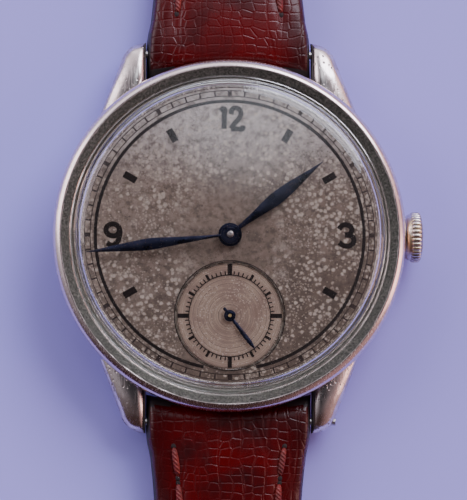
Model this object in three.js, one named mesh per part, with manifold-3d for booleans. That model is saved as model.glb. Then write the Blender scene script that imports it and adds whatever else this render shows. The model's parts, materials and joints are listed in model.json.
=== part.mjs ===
// A hand-wound wristwatch of the 1940s: steel case with teardrop lugs, domed acrylic crystal,
// sunk small seconds, a twelve-ligne lever movement, and an open two-piece leather strap with its buckle.
// Millimetres, +Z up out of the dial, +Y towards 12 o'clock, +X towards the crown.
// The origin is the centre of the case back's flat outer face, on the axis of the hands.
import * as THREE from "three";
import { mergeVertices } from "three/addons/utils/BufferGeometryUtils.js";
import Module from "manifold-3d";

const wasm = await Module();
wasm.setup();

// ---- Driving dimensions -------------------------------------------------------------------------
const CLEARANCE = 0.05; // between neighbouring pieces
const BEZEL_R = 18;
const MIDDLE_R = 16.9;
const LUG_GAP = 17;
const LUG_TIP_Y = 20.1;
const BAR_Y = 18.9; // spring bar axis
const BAR_Z = 2.6;
const BAR_R = 0.75;
const PIN_R = 0.42;
const STEM_Z = 3.3;
const STEM_R = 0.45;
const TUBE_R = 1.15; // the crown's tube
const CROWN_X = 18.1; // the crown's inner face
const CROWN_R = 2.6;
const CROWN_FLUTES = 24;
const LUG_ROOT_Y = 12.8;
const PIN_TIP = 10;
const PROUD_PIN_TIP = 10.95; // one pin stands out of its worn lug hole
const MOVEMENT_R = 13.25;
const DIAL_R = 15.2;
const SECONDS_Y = -8.2; // the fourth wheel and its hand
const SECONDS_DIAL_R = 5.4;
const END_HALF = 7; // half the strap's width at its ends
const BUCKLE_HALF = 66;
const TAIL_HALF = 100;
const TAIL_HOLES = 6;
const LINING_T = 0.6;
const LINING_START = 3.5;
const KEEPER_T = 0.8;
const BAR_LOOP_R = 1.75;
const BUCKLE_BAR_R = 0.55;
const BUCKLE_LEAN = 6.1; // degrees

// Heights, from the case back upwards
const BRIDGE_Z = 1.56;
const BRIDGE_TOP = 2.3;
const PLATE_Z = 3.8;
const POCKET_Z = 4.45;
const PLATE_TOP = 5.05;
const MIDDLE_TOP = 4.7;
const DIAL_Z = 5.1;
const DIAL_TOP = 5.5;
const SECONDS_HAND_Z = 5.6;
const HOUR_HAND_Z = 6;
const MINUTE_HAND_Z = 6.55;
const CRYSTAL_TOP = 10.1;

// Round parts are polygons: fine on the case, coarser where they are small
const FINE = 36;
const MEDIUM = 24;
const SMALL = 10;

// Pivots of the train, as a movement's plan
const CENTRE = [0, 0];
const FOURTH = [0, SECONDS_Y];
const BARREL = [2.26, 6.2];
const CROWN_WHEEL = [6.48, 0]; // over the stem, so that its edge crosses the winding pinion
const BALANCE = [-7.4, -0.5];
const MINUTE_WHEEL = [-2.35, 1.75];
const CLICK = [-1.2, 1.1];
const YOKE_X = 7.45;
const YOKE_PIVOT_Y = -4.3;
const LEVER_X = 10.3;
const LEVER_PIVOT_Y = 3.6;
const DIAL_FEET = [[-11.2, 5.5], [11.2, -5.5]];
const CLAMP_ANGLES = [3.58, 5.7];

// The hands read about 1:43:24. Angles are clockwise from 12.
// Blades are [distance from the pivot, full width].
const HOUR_ANGLE = 51.7;
const MINUTE_ANGLE = 262.8;
const SECONDS_ANGLE = 143;
const HOUR_BLADE = [
  [0, 0.4], [1.2, 0.42], [3.1, 0.76], [4.5, 1.1], [5.9, 1.37], [8.1, 1.11], [10, 0.57], [12, 0.06],
];
const MINUTE_BLADE = [
  [0, 0.28], [1.6, 0.28], [4.1, 0.6], [6.2, 0.93], [8.2, 1.2],
  [10.2, 0.92], [11.8, 0.64], [13.3, 0.33], [14.8, 0.06],
];
const SECONDS_BLADE = [[-1, 0.3], [0.5, 0.3], [3.3, 0.45], [4.25, 0.06]];

// Tooth counts: the hour hand turns 12 times slower than the minute hand, the seconds hand 60 times
// faster.
const TEETH = {
  barrel: 60, centrePinion: 10, centre: 48, thirdPinion: 6, third: 45, fourthPinion: 6, fourth: 60,
  escapePinion: 6, escape: 15, cannon: 10, minute: 30, minutePinion: 8, hour: 32,
  ratchet: 45, crownWheel: 30, windingPinion: 15,
};

// ---- Solids -------------------------------------------------------------------------------------
// A closed three.js geometry as a solid that can be joined and cut.
function solid(geometry) {
  const bare = geometry.clone();
  bare.deleteAttribute("normal");
  bare.deleteAttribute("uv");
  const merged = mergeVertices(bare, 1e-4);
  const faces = [];
  const index = merged.index.array;
  for (let i = 0; i < index.length; i += 3) {
    const [a, b, c] = [index[i], index[i + 1], index[i + 2]];
    if (a !== b && b !== c && c !== a) faces.push(a, b, c);
  }
  const make = (list) =>
    new wasm.Manifold(
      new wasm.Mesh({
        numProp: 3,
        vertProperties: merged.attributes.position.array,
        triVerts: new Uint32Array(list),
      }),
    );
  const made = make(faces);
  if (made.volume() > 0) return made;
  return make(faces.reverse());
}

function geometryOf(made) {
  const mesh = made.getMesh();
  const position = new Float32Array(mesh.numVert * 3);
  for (let i = 0; i < mesh.numVert; i++) {
    position.set(mesh.vertProperties.subarray(i * mesh.numProp, i * mesh.numProp + 3), i * 3);
  }
  const geometry = new THREE.BufferGeometry();
  geometry.setAttribute("position", new THREE.BufferAttribute(position, 3));
  geometry.setIndex(new THREE.BufferAttribute(mesh.triVerts, 1));
  geometry.computeVertexNormals();
  return geometry;
}

const shapeOf = (outline) => new THREE.Shape(outline.map(([x, y]) => new THREE.Vector2(x, y)));
const join = (...solids) => solids.reduce((a, b) => a.add(b));
const cut = (from, ...tools) => tools.reduce((a, b) => a.subtract(b), from);
const move = (made, x, y, z) => made.translate([x, y, z]);

// A profile of [radius, height] turned about the Z axis; a ring's profile closes on itself.
function revolve(profile, segments = FINE) {
  const onAxis = profile[0][0] === 0;
  const points = (onAxis ? profile : [...profile, profile[0]]).map(([r, z]) => new THREE.Vector2(r, z));
  return solid(new THREE.LatheGeometry(points, segments).rotateX(Math.PI / 2));
}

// An outline of [x, y] points, or a THREE.Shape, raised from z0 to z1.
function prism(outline, z0, z1, curveSegments = 6) {
  const shape = outline instanceof THREE.Shape ? outline : shapeOf(outline);
  const settings = { depth: z1 - z0, bevelEnabled: false, curveSegments };
  const geometry = new THREE.ExtrudeGeometry(shape, settings);
  return solid(geometry.translate(0, 0, z0));
}

// A shape drawn in the plane of Y and Z, extruded along X.
function crossPrism(shape, x0, x1, curveSegments = 6) {
  const toCross = new THREE.Matrix4().makeBasis(
    new THREE.Vector3(0, 1, 0),
    new THREE.Vector3(0, 0, 1),
    new THREE.Vector3(1, 0, 0),
  );
  const settings = { depth: x1 - x0, bevelEnabled: false, curveSegments };
  const geometry = new THREE.ExtrudeGeometry(shape, settings);
  return solid(geometry.applyMatrix4(toCross).translate(x0, 0, 0));
}

function rod(r, z0, z1, [x, y] = CENTRE, segments = SMALL) {
  const geometry = new THREE.CylinderGeometry(r, r, z1 - z0, segments).rotateX(Math.PI / 2);
  return solid(geometry.translate(x, y, (z0 + z1) / 2));
}

// A rod along X, for the stem and the bars.
function crossRod(r, x0, x1, y, z, segments = SMALL) {
  const geometry = new THREE.CylinderGeometry(r, r, x1 - x0, segments).rotateZ(Math.PI / 2);
  return solid(geometry.translate((x0 + x1) / 2, y, z));
}

function block([x0, y0, z0], [x1, y1, z1]) {
  const geometry = new THREE.BoxGeometry(x1 - x0, y1 - y0, z1 - z0);
  return solid(geometry.translate((x0 + x1) / 2, (y0 + y1) / 2, (z0 + z1) / 2));
}

const tube = (outer, inner, z0, z1, at = CENTRE, segments = SMALL) =>
  cut(rod(outer, z0, z1, at, segments), rod(inner, z0 - 1, z1 + 1, at, segments));

// A toothed disc whose teeth are plain points. A tooth's tip lies at the angle phase.
function gear(teeth, pitchR, z0, z1, [x, y] = CENTRE, phase = 0) {
  const module = (2 * pitchR) / teeth;
  const tip = pitchR + 0.4 * module;
  const root = pitchR - 0.9 * module;
  const outline = [];
  for (let i = 0; i < teeth * 2; i++) {
    const angle = phase + (i * Math.PI) / teeth;
    const r = i % 2 ? root : tip;
    outline.push([x + r * Math.cos(angle), y + r * Math.sin(angle)]);
  }
  return prism(outline, z0, z1);
}

// Spokes are what is left between four round holes.
function lighten(made, [x, y], holeR, at, z0, z1) {
  const holes = [0, 1, 2, 3].map((i) => {
    const angle = Math.PI / 4 + (i * Math.PI) / 2;
    return rod(holeR, z0 - 1, z1 + 1, [x + at * Math.cos(angle), y + at * Math.sin(angle)], 8);
  });
  return cut(made, ...holes);
}

const distance = (a, b) => Math.hypot(b[0] - a[0], b[1] - a[1]);
const bearing = (from, to) => Math.atan2(to[1] - from[1], to[0] - from[0]);

// Two toothed wheels at pivots a and b: their pitch radii, and phases that put a tip of one in a gap of
// the other.
function meshed(a, teethA, b, teethB) {
  const apart = distance(a, b);
  const angle = bearing(a, b);
  return {
    a: { r: (apart * teethA) / (teethA + teethB), phase: angle },
    b: { r: (apart * teethB) / (teethA + teethB), phase: angle + Math.PI + Math.PI / teethB },
  };
}

// The third wheel's pivot: it meshes with the centre wheel and with the fourth pinion.
const THIRD_TO_CENTRE = 5.22;
const THIRD_TO_FOURTH = 4.59;
const thirdY =
  -(THIRD_TO_CENTRE ** 2 - THIRD_TO_FOURTH ** 2 + SECONDS_Y ** 2) / (2 * Math.abs(SECONDS_Y));
const THIRD = [Math.sqrt(THIRD_TO_CENTRE ** 2 - thirdY ** 2), thirdY];
const ESCAPE_ARM = 3.96; // from the fourth wheel, towards 9 o'clock
const ESCAPE = [
  FOURTH[0] + ESCAPE_ARM * Math.cos((150 * Math.PI) / 180),
  FOURTH[1] + ESCAPE_ARM * Math.sin((150 * Math.PI) / 180),
];
const ESCAPE_R = 2.1;
const PALLET_ARM = 2.9;
const PALLET = [
  ESCAPE[0] + PALLET_ARM * Math.cos(bearing(ESCAPE, BALANCE)),
  ESCAPE[1] + PALLET_ARM * Math.sin(bearing(ESCAPE, BALANCE)),
];

// ---- Case ---------------------------------------------------------------------------------------
// One lug seen from above: straight inner flank, outer flank leaving the bezel at a tangent, rounded tip.
function lugPlan() {
  const inner = LUG_GAP / 2;
  const shape = new THREE.Shape();
  shape.moveTo(inner, LUG_ROOT_Y);
  shape.lineTo(13.1, LUG_ROOT_Y);
  shape.lineTo(11.15, 17.9);
  shape.quadraticCurveTo(10.6, LUG_TIP_Y - 0.05, inner, LUG_TIP_Y);
  return shape;
}

// The same lug from the side: its back falls in a curve from under the bezel to a blunt tip.
function lugSide() {
  const shape = new THREE.Shape();
  shape.moveTo(LUG_ROOT_Y, 1.75);
  shape.lineTo(14.6, 1.75);
  shape.lineTo(17.2, 1.05);
  shape.quadraticCurveTo(19.4, 0.8, LUG_TIP_Y, 1.3);
  shape.lineTo(LUG_TIP_Y, 2.7);
  shape.quadraticCurveTo(18.9, 4.4, 16.2, MIDDLE_TOP);
  shape.lineTo(LUG_ROOT_Y, MIDDLE_TOP);
  return shape;
}

function lug() {
  return prism(lugPlan(), 0, 6, 4).intersect(crossPrism(lugSide(), 8, 14, 4));
}

function caseMiddle() {
  const ring = revolve([
    [15, 1.7], [MIDDLE_R, 1.7], [MIDDLE_R, MIDDLE_TOP], [16.1, MIDDLE_TOP], [16.1, 5.5],
    [15.3, 5.5], [15.3, 5.05], [13.4, 5.05], [13.4, 2.35], [15, 2.35],
  ]);
  const right = join(lug(), lug().mirror([0, 1, 0]));
  const body = join(ring, right, right.mirror([1, 0, 0]));
  const barHoles = [1, -1].map((side) => crossRod(PIN_R + CLEARANCE, -14, 14, side * BAR_Y, BAR_Z));
  return cut(body, ...barHoles, crossRod(TUBE_R + 0.02, 12, 20, 0, STEM_Z, MEDIUM));
}

const bezel = () =>
  revolve([
    [16.15, 4.75], [17.6, 4.75], [BEZEL_R, 5.15], [BEZEL_R, 5.6], [17.85, 6.2],
    [17.5, 6.7], [17.05, 6.95], [16.45, 5.95], [16.45, 5.53], [16.15, 5.53],
  ]);

const crystal = () =>
  revolve([
    [15.5, 5.56], [16.4, 5.56], [16.4, 5.95], [15.55, 8.55], [14.6, 8.95], [12, 9.45], [8, 9.85],
    [4, CRYSTAL_TOP - 0.04], [0, CRYSTAL_TOP],
    [0, CRYSTAL_TOP - 0.85], [8, 9], [12.5, 8.5], [14.7, 8.05], [15.2, 7.5],
  ]);

const caseBack = () =>
  revolve([
    [0, 0], [13.6, 0], [15.6, 0.35], [16.6, 1.1], [16.75, 1.64], [14.93, 1.64], [14.93, 2.28],
    [14.3, 2.28], [14.3, 1.1], [13.8, 0.6], [0, 0.6],
  ]);

const crownTube = () =>
  cut(
    crossRod(TUBE_R, 15.2, 18.95, 0, STEM_Z, MEDIUM),
    crossRod(0.75, 15, 19, 0, STEM_Z, SMALL),
  );

// A tab that reaches under the case middle's ledge and stands on the movement's rim.
const clampPlace = (angle) => [12.2 * Math.cos(angle), 12.2 * Math.sin(angle)];
function caseClamp(angle) {
  const tab = join(
    block([-0.7, -0.8, 2.02], [2, 0.8, 2.3]),
    rod(0.6, 2.1, PLATE_Z - CLEARANCE, CENTRE, 8),
    rod(0.6, 1.75, 2.1, CENTRE, 8),
  );
  const [x, y] = clampPlace(angle);
  return move(tab.rotate([0, 0, (angle * 180) / Math.PI]), x, y, 0);
}

// ---- Crown and winding --------------------------------------------------------------------------
// Everything here lies along X; a prism whose outline is in the plane across the stem.
function crown() {
  const knurl = [];
  for (let i = 0; i < CROWN_FLUTES * 2; i++) {
    const angle = (i * Math.PI) / CROWN_FLUTES;
    const r = CROWN_R - (i % 2 ? 0.22 : 0);
    knurl.push([r * Math.cos(angle), STEM_Z + r * Math.sin(angle)]);
  }
  const outer = revolve(
    [[0, 0], [CROWN_R - 0.25, 0], [CROWN_R, 0.25], [CROWN_R, 1.35], [2.3, 1.65], [1.2, 1.82], [0, 1.86]],
    MEDIUM,
  );
  const turned = move(outer.rotate([0, 90, 0]), CROWN_X, 0, STEM_Z);
  const body = crossPrism(shapeOf(knurl), CROWN_X - 1, CROWN_X + 3).intersect(turned);
  return cut(
    body,
    crossRod(1.5, CROWN_X - 1, CROWN_X + 1.1, 0, STEM_Z, MEDIUM),
    crossRod(0.47, CROWN_X, CROWN_X + 1.4, 0, STEM_Z, 8),
  );
}

const crownGasket = () =>
  cut(
    crossRod(1.46, CROWN_X + 0.05, CROWN_X + 0.35, 0, STEM_Z, MEDIUM),
    crossRod(TUBE_R + 0.04, 17, 20, 0, STEM_Z, MEDIUM),
  );

function stem() {
  const groove = cut(
    crossRod(1, LEVER_X - 0.3, LEVER_X + 0.3, 0, STEM_Z, 8),
    crossRod(0.28, 9, 12, 0, STEM_Z, 8),
  );
  return cut(crossRod(STEM_R, 6.2, CROWN_X + 1.35, 0, STEM_Z, 8), groove);
}

function windingPinion() {
  const outline = [];
  for (let i = 0; i < TEETH.windingPinion * 2; i++) {
    const angle = (i * Math.PI) / TEETH.windingPinion;
    const r = i % 2 ? 1.35 : 1.65;
    outline.push([r * Math.cos(angle), STEM_Z + r * Math.sin(angle)]);
  }
  return cut(crossPrism(shapeOf(outline), 8.3, 9.7), crossRod(STEM_R + 0.05, 8, 10, 0, STEM_Z, 8));
}

function clutch() {
  const groove = cut(crossRod(2, 7.25, 7.65, 0, STEM_Z), crossRod(0.9, 7, 8, 0, STEM_Z));
  return cut(crossRod(1.3, 6.9, 8, 0, STEM_Z), groove, crossRod(STEM_R + 0.05, 6, 9, 0, STEM_Z, 8));
}

function settingLever() {
  const arm = block([LEVER_X - 0.35, -0.35, 4.7], [LEVER_X + 0.35, LEVER_PIVOT_Y + 0.4, 4.9]);
  const finger = rod(0.18, 3.68, 4.8, [LEVER_X, 0], 8);
  return join(arm, finger, rod(0.6, 4.7, 4.95, [LEVER_X, LEVER_PIVOT_Y], 8));
}

function yoke() {
  const arm = block([YOKE_X - 0.3, YOKE_PIVOT_Y - 0.4, 4.7], [YOKE_X + 0.3, 0.3, 4.9]);
  const finger = block([YOKE_X - 0.12, -0.25, 4.3], [YOKE_X + 0.12, 0.25, 4.8]);
  return join(arm, finger, rod(0.6, 4.7, 4.95, [YOKE_X, YOKE_PIVOT_Y], 8));
}

// ---- Movement -----------------------------------------------------------------------------------
const pivotHole = (at, r = 0.27) => rod(r, 0, 5.04, at, 8);

function mainPlate() {
  const disc = rod(MOVEMENT_R, PLATE_Z, PLATE_TOP, CENTRE, FINE);
  const bearing = block([11.35, -1.3, 2.4], [12.7, 1.3, PLATE_Z + 0.1]);
  const pockets = [
    rod(6, PLATE_Z - 1, 4.25, BARREL, MEDIUM),
    rod(2.55, POCKET_Z, 6, CENTRE, MEDIUM),
    rod(2.4, POCKET_Z, 6, MINUTE_WHEEL, MEDIUM),
    block([5.9, -1.8, PLATE_Z - 1], [9.85, 1.8, 6]),
    block([6.2, YOKE_PIVOT_Y - 1, POCKET_Z], [8.5, 0, 6]),
    block([9.8, -0.6, PLATE_Z - 1], [11.3, 0.6, 6]),
    block([9.5, -0.6, POCKET_Z], [11.7, LEVER_PIVOT_Y + 1, 6]),
  ];
  const holes = [
    rod(0.6, 0, 6, CENTRE, SMALL),
    rod(0.3, 0, 6, FOURTH, 8),
    ...[THIRD, ESCAPE, PALLET, BALANCE].map((at) => pivotHole(at)),
    pivotHole(BARREL, 0.55),
    ...DIAL_FEET.map((at) => rod(0.42, 0, 6, at, 8)),
  ];
  return cut(join(disc, bearing), ...pockets, ...holes, crossRod(STEM_R + 0.05, 10, 13.3, 0, STEM_Z, 8));
}

// A bridge is a piece of the movement's disc, with feet that reach the main plate.
function bridge(outline, feet, holes) {
  const slab = prism(outline, BRIDGE_Z, BRIDGE_TOP).intersect(rod(12.9, 0, 3, CENTRE, FINE));
  const legs = feet.map((at) => rod(0.8, BRIDGE_Z + 0.1, PLATE_Z - 0.02, at, 8));
  return cut(join(slab, ...legs), ...holes);
}

const barrelBridge = () =>
  bridge(
    [[-2, -1.75], [13, -1.75], [13, 13], [-2, 13]],
    [[9.6, 7.6], [-0.9, 11.9], [11.7, 3.9]],
    [
      pivotHole(CENTRE, 0.37), pivotHole(BARREL, 0.55),
      block([5.9, -1.8, 1.92], [9.9, 1.45, 3]), block([8.15, -1.8, 0], [9.9, 1.8, 3]),
    ],
  );

const trainBridge = () =>
  bridge(
    [[13, -2], [-1.5, -2], [-4.6, -5.2], [-4.6, -13], [13, -13]],
    [[7.4, -9.4], [10.6, -3.4], [-3.4, -11.5]],
    [
      pivotHole(THIRD), pivotHole(FOURTH), pivotHole(ESCAPE),
      rod(1.4, 0, 3, clampPlace(CLAMP_ANGLES[1]), 8),
    ],
  );

function palletBridge() {
  const foot = [-7.2, -7.9];
  const slab = prism(
    [[PALLET[0] + 0.5, PALLET[1] + 0.3], [PALLET[0] - 0.5, PALLET[1] + 0.4], [foot[0] - 0.9, foot[1]],
      [foot[0], foot[1] - 0.9], [foot[0] + 0.9, foot[1]]],
    3.2, 3.35,
  );
  return cut(join(slab, rod(0.7, 3.2, PLATE_Z - 0.02, foot, 8)), pivotHole(PALLET));
}

function balanceCock() {
  const foot = prism([[-3.9, 5.3], [-3.9, 13], [-12, 13], [-12, 5.3]], BRIDGE_Z, PLATE_Z - 0.02)
    .intersect(rod(12.9, 0, 5, CENTRE, FINE));
  const arm = prism(
    [[-4.5, 6], [-10.2, 6], [BALANCE[0] - 1.1, BALANCE[1]], [BALANCE[0], BALANCE[1] - 1.1],
      [BALANCE[0] + 1.1, BALANCE[1]]],
    BRIDGE_Z, BRIDGE_TOP - 0.05,
  );
  return cut(join(foot, arm), pivotHole(BALANCE));
}

function regulator() {
  const pointer = prism(
    [[BALANCE[0] - 0.3, BALANCE[1]], [BALANCE[0] + 0.3, BALANCE[1]], [BALANCE[0] + 0.1, BALANCE[1] + 4.6],
      [BALANCE[0] - 0.1, BALANCE[1] + 4.6]],
    1.22, 1.47,
  );
  return cut(join(rod(0.95, 1.22, 1.47, BALANCE), pointer), rod(0.35, 0, 3, BALANCE, 8));
}

// ---- Going train: each wheel with its pinion on one arbor ---------------------------------------
const meshBarrel = meshed(BARREL, TEETH.barrel, CENTRE, TEETH.centrePinion);
const meshCentre = meshed(CENTRE, TEETH.centre, THIRD, TEETH.thirdPinion);
const meshThird = meshed(THIRD, TEETH.third, FOURTH, TEETH.fourthPinion);
const meshFourth = meshed(FOURTH, TEETH.fourth, ESCAPE, TEETH.escapePinion);
const meshCannon = meshed(CENTRE, TEETH.cannon, MINUTE_WHEEL, TEETH.minute);
const meshMinute = meshed(MINUTE_WHEEL, TEETH.minutePinion, CENTRE, TEETH.hour);
const meshRatchet = meshed(BARREL, TEETH.ratchet, CROWN_WHEEL, TEETH.crownWheel);

const barrel = () =>
  cut(
    join(
      rod(5.2, 2.85, 4.2, BARREL, MEDIUM),
      gear(TEETH.barrel, meshBarrel.a.r, 3.3, 3.7, BARREL, meshBarrel.a.phase),
    ),
    rod(4.95, 2.8, 4, BARREL, MEDIUM),
    rod(0.55, 2, 5, BARREL, 8),
  );

const barrelCover = () => tube(4.85, 0.55, 2.85, 3, BARREL, MEDIUM);

// A ribbon wound in a flat spiral from the inner to the outer radius.
function spiral([x, y], inner, outer, turns, thickness, z0, z1) {
  const steps = turns * 10;
  const side = (offset) =>
    Array.from({ length: steps + 1 }, (_, i) => {
      const angle = (i / steps) * turns * 2 * Math.PI;
      const r = inner + ((outer - inner) * i) / steps + offset;
      return [x + r * Math.cos(angle), y + r * Math.sin(angle)];
    });
  return prism([...side(0), ...side(thickness).reverse()], z0, z1);
}

const mainspring = () => spiral(BARREL, 1.3, 4.4, 3, 0.2, 3.05, 3.9);
const hairspring = () => spiral(BALANCE, 0.5, 2.1, 3, 0.1, 2.42, 2.6);

const barrelArbor = () => join(rod(0.48, 1.05, 4.6, BARREL, 8), rod(1, 3.05, 3.9, BARREL, SMALL));

function ratchetWheel() {
  const wheel = gear(TEETH.ratchet, meshRatchet.a.r, 1.1, 1.5, BARREL, meshRatchet.a.phase);
  return cut(wheel, pivotHole(BARREL, 0.5));
}

function crownWheel() {
  const wheel = gear(TEETH.crownWheel, meshRatchet.b.r, 1.1, 1.5, CROWN_WHEEL, meshRatchet.b.phase);
  return cut(wheel, pivotHole(CROWN_WHEEL, 0.6));
}

const ratchetScrew = () => cut(rod(1.1, 0.75, 1.02, BARREL), slot(BARREL));
const crownWheelScrew = () =>
  cut(join(rod(1.1, 0.75, 1.02, CROWN_WHEEL), rod(0.52, 0.9, 1.53, CROWN_WHEEL, 8)), slot(CROWN_WHEEL));
const slot = ([x, y]) => block([x - 2, y - 0.12, 0], [x + 2, y + 0.12, 0.85]);

// The click's nose stands in the ratchet's teeth, and a spring would hold it there.
function click() {
  const [x, y] = CLICK;
  const towards = bearing(CLICK, BARREL);
  const nose = distance(CLICK, BARREL) - meshRatchet.a.r - 0.12;
  const across = (d, along) => [
    x + along * Math.cos(towards) - d * Math.sin(towards),
    y + along * Math.sin(towards) + d * Math.cos(towards),
  ];
  return join(
    prism([across(-0.5, 0), across(0.1, nose), across(0.3, nose - 0.1), across(0.6, 0)], 1.1, 1.45),
    rod(0.75, 1.1, 1.5, CLICK, 8),
  );
}

function centreWheel() {
  const wheel = gear(TEETH.centre, meshCentre.a.r, 2.4, 2.55, CENTRE, meshCentre.a.phase);
  return join(
    lighten(wheel, CENTRE, 1.2, 2.6, 2.4, 2.55),
    gear(TEETH.centrePinion, meshBarrel.b.r, 3.25, 3.75, CENTRE, meshBarrel.b.phase),
    rod(0.3, 1.65, 7, CENTRE, 8),
  );
}

const thirdWheel = () =>
  join(
    lighten(gear(TEETH.third, meshThird.a.r, 3, 3.15, THIRD, meshThird.a.phase), THIRD, 1, 2.3, 3, 3.15),
    gear(TEETH.thirdPinion, meshCentre.b.r, 2.36, 2.6, THIRD, meshCentre.b.phase),
    rod(0.22, 1.65, 4.4, THIRD, 8),
  );

function fourthWheel() {
  const wheel = gear(TEETH.fourth, meshFourth.a.r, 2.64, 2.78, FOURTH, meshFourth.a.phase);
  return join(
    lighten(wheel, FOURTH, 0.9, 2, 2.64, 2.78),
    gear(TEETH.fourthPinion, meshThird.b.r, 2.95, 3.2, FOURTH, meshThird.b.phase),
    rod(0.17, 1.65, 5.95, FOURTH, 8),
  );
}

const escapeWheel = () =>
  join(
    prism(sawTeeth(ESCAPE, TEETH.escape, ESCAPE_R, 1.65), 3.4, 3.55),
    gear(TEETH.escapePinion, meshFourth.b.r, 2.6, 2.82, ESCAPE, meshFourth.b.phase),
    rod(0.2, 1.65, 4.4, ESCAPE, 8),
  );

// Escape wheel teeth lean forward: a steep front and a long back.
function sawTeeth([x, y], count, tip, root) {
  const outline = [];
  for (let i = 0; i < count; i++) {
    for (const [turn, r] of [[0, tip], [0.25, root], [0.75, root]]) {
      const angle = ((i + turn) * 2 * Math.PI) / count;
      outline.push([x + r * Math.cos(angle), y + r * Math.sin(angle)]);
    }
  }
  return outline;
}

function palletFork() {
  const along = bearing(ESCAPE, BALANCE);
  const at = ([u, v]) => [
    PALLET[0] + u * Math.cos(along) - v * Math.sin(along),
    PALLET[1] + u * Math.sin(along) + v * Math.cos(along),
  ];
  const anchor = [
    [-0.4, -0.4], [-0.7, -1.5], [-0.3, -1.7], [0.2, -0.5], [2.3, -0.15], [2.7, -0.4], [3, -0.3],
    [2.7, 0], [3, 0.3], [2.7, 0.4], [2.3, 0.15], [0.2, 0.5], [-0.3, 1.7], [-0.7, 1.5], [-0.4, 0.4],
  ];
  return join(prism(anchor.map(at), 3.4, 3.55), rod(0.2, 3.22, 4.4, PALLET, 8));
}

function balanceWheel() {
  const rim = tube(4.6, 4.15, 2.9, 3.14, BALANCE, MEDIUM);
  const [x, y] = BALANCE;
  const arms = block([x - 4.3, y - 0.3, 2.94], [x + 4.3, y + 0.3, 3.1]);
  return join(rim, arms, rod(0.7, 3.05, 3.3, BALANCE), rod(0.2, 1.65, 4.4, BALANCE, 8));
}

const minuteWheel = () =>
  join(
    cut(
      gear(TEETH.minute, meshCannon.b.r, 4.5, 4.65, MINUTE_WHEEL, meshCannon.b.phase),
      rod(0.3, 4, 6, MINUTE_WHEEL, 8),
    ),
    cut(
      gear(TEETH.minutePinion, meshMinute.a.r, 4.6, 4.95, MINUTE_WHEEL, meshMinute.a.phase),
      rod(0.3, 4, 6, MINUTE_WHEEL, 8),
    ),
  );

const cannonPinion = () =>
  cut(
    join(
      gear(TEETH.cannon, meshCannon.a.r, 4.5, 4.68, CENTRE, meshCannon.a.phase),
      rod(0.5, 4.5, MINUTE_HAND_Z + 0.22, CENTRE),
    ),
    rod(0.34, 4, 8, CENTRE, 8),
  );

const hourWheel = () =>
  cut(
    join(
      gear(TEETH.hour, meshMinute.b.r, 4.75, 4.92, CENTRE, meshMinute.b.phase),
      rod(0.8, 4.8, HOUR_HAND_Z + 0.22, CENTRE),
    ),
    rod(0.54, 4, 8, CENTRE),
  );

// ---- Dial and hands -----------------------------------------------------------------------------
const dial = () =>
  join(
    cut(
      rod(DIAL_R, DIAL_Z, DIAL_TOP, CENTRE, FINE),
      rod(1, 5, 6, CENTRE),
      rod(SECONDS_DIAL_R + 0.1, 5, 6, FOURTH, FINE),
    ),
    ...DIAL_FEET.map((at) => rod(0.35, 4.3, DIAL_Z + 0.05, at, 8)),
  );

const secondsDial = () => tube(SECONDS_DIAL_R, 0.3, DIAL_Z, DIAL_Z + 0.2, FOURTH, FINE);

// A leaf hand points to +Y; its half width swells to the belly and fades to the tip.
function leafHand(pivot, clockwise, hubR, boreR, stations, z0, thickness) {
  const right = stations.map(([along, width]) => [width / 2, along]);
  const left = stations.map(([along, width]) => [-width / 2, along]).reverse();
  const blade = prism([...right, ...left], z0 + 0.02, z0 + thickness);
  const hub = rod(hubR, z0, z0 + thickness + 0.04, CENTRE, 16);
  const hand = cut(join(hub, blade), rod(boreR, 0, 9, CENTRE, 16));
  return move(hand.rotate([0, 0, -clockwise]), pivot[0], pivot[1], 0);
}

const hourHand = () => leafHand(CENTRE, HOUR_ANGLE, 1.2, 0.82, HOUR_BLADE, HOUR_HAND_Z, 0.18);
const minuteHand = () => leafHand(CENTRE, MINUTE_ANGLE, 0.95, 0.52, MINUTE_BLADE, MINUTE_HAND_Z, 0.18);
const secondsHand = () => leafHand(FOURTH, SECONDS_ANGLE, 0.6, 0.19, SECONDS_BLADE, SECONDS_HAND_Z, 0.13);

// ---- Spring bars --------------------------------------------------------------------------------
function barTube(y) {
  return cut(crossRod(BAR_R, -8.2, 8.2, y, BAR_Z), crossRod(PIN_R + CLEARANCE, -9, 9, y, BAR_Z));
}

const barPin = (y, side, tip) => {
  const [x0, x1] = side > 0 ? [5.4, tip] : [-tip, -5.4];
  return crossRod(PIN_R, x0, x1, y, BAR_Z);
};

// ---- Strap --------------------------------------------------------------------------------------
// Both halves are drawn for the 12 side, out from the bar; s is the distance from the bar's axis.
function strapPlan(length, pointed) {
  const halves = [[-2.5, 8.2], [1, 8.15], [3, 7.9], [9, 7.5], [40, END_HALF]];
  const end = pointed
    ? [[length - 9, END_HALF], [length - 3, 4.6], [length, 1.2]]
    : [[length + 1.3, END_HALF]];
  const right = [...halves, ...end].map(([s, x]) => [x, BAR_Y + s]);
  return prism([...right, ...right.map(([x, y]) => [-x, y]).reverse()], -2, 8);
}

// Heights of the underside and of the top face along the strap.
function strapSide(length, lift) {
  const under = [[LINING_START, 0.58], [9, 0], [length - 30, 0], [length - 24, lift]];
  const top = [
    [length, lift + 2.3], [length - 24, lift + 2.3], [length - 31, 2.5], [24, 2.5], [13, 3.4], [5, 4.25],
  ];
  return { under, top };
}

function loopCircle(at, z, r, from, to) {
  return Array.from({ length: 9 }, (_, i) => {
    const angle = ((from + ((to - from) * i) / 8) * Math.PI) / 180;
    return [at + r * Math.cos(angle), z + r * Math.sin(angle)];
  });
}

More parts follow.
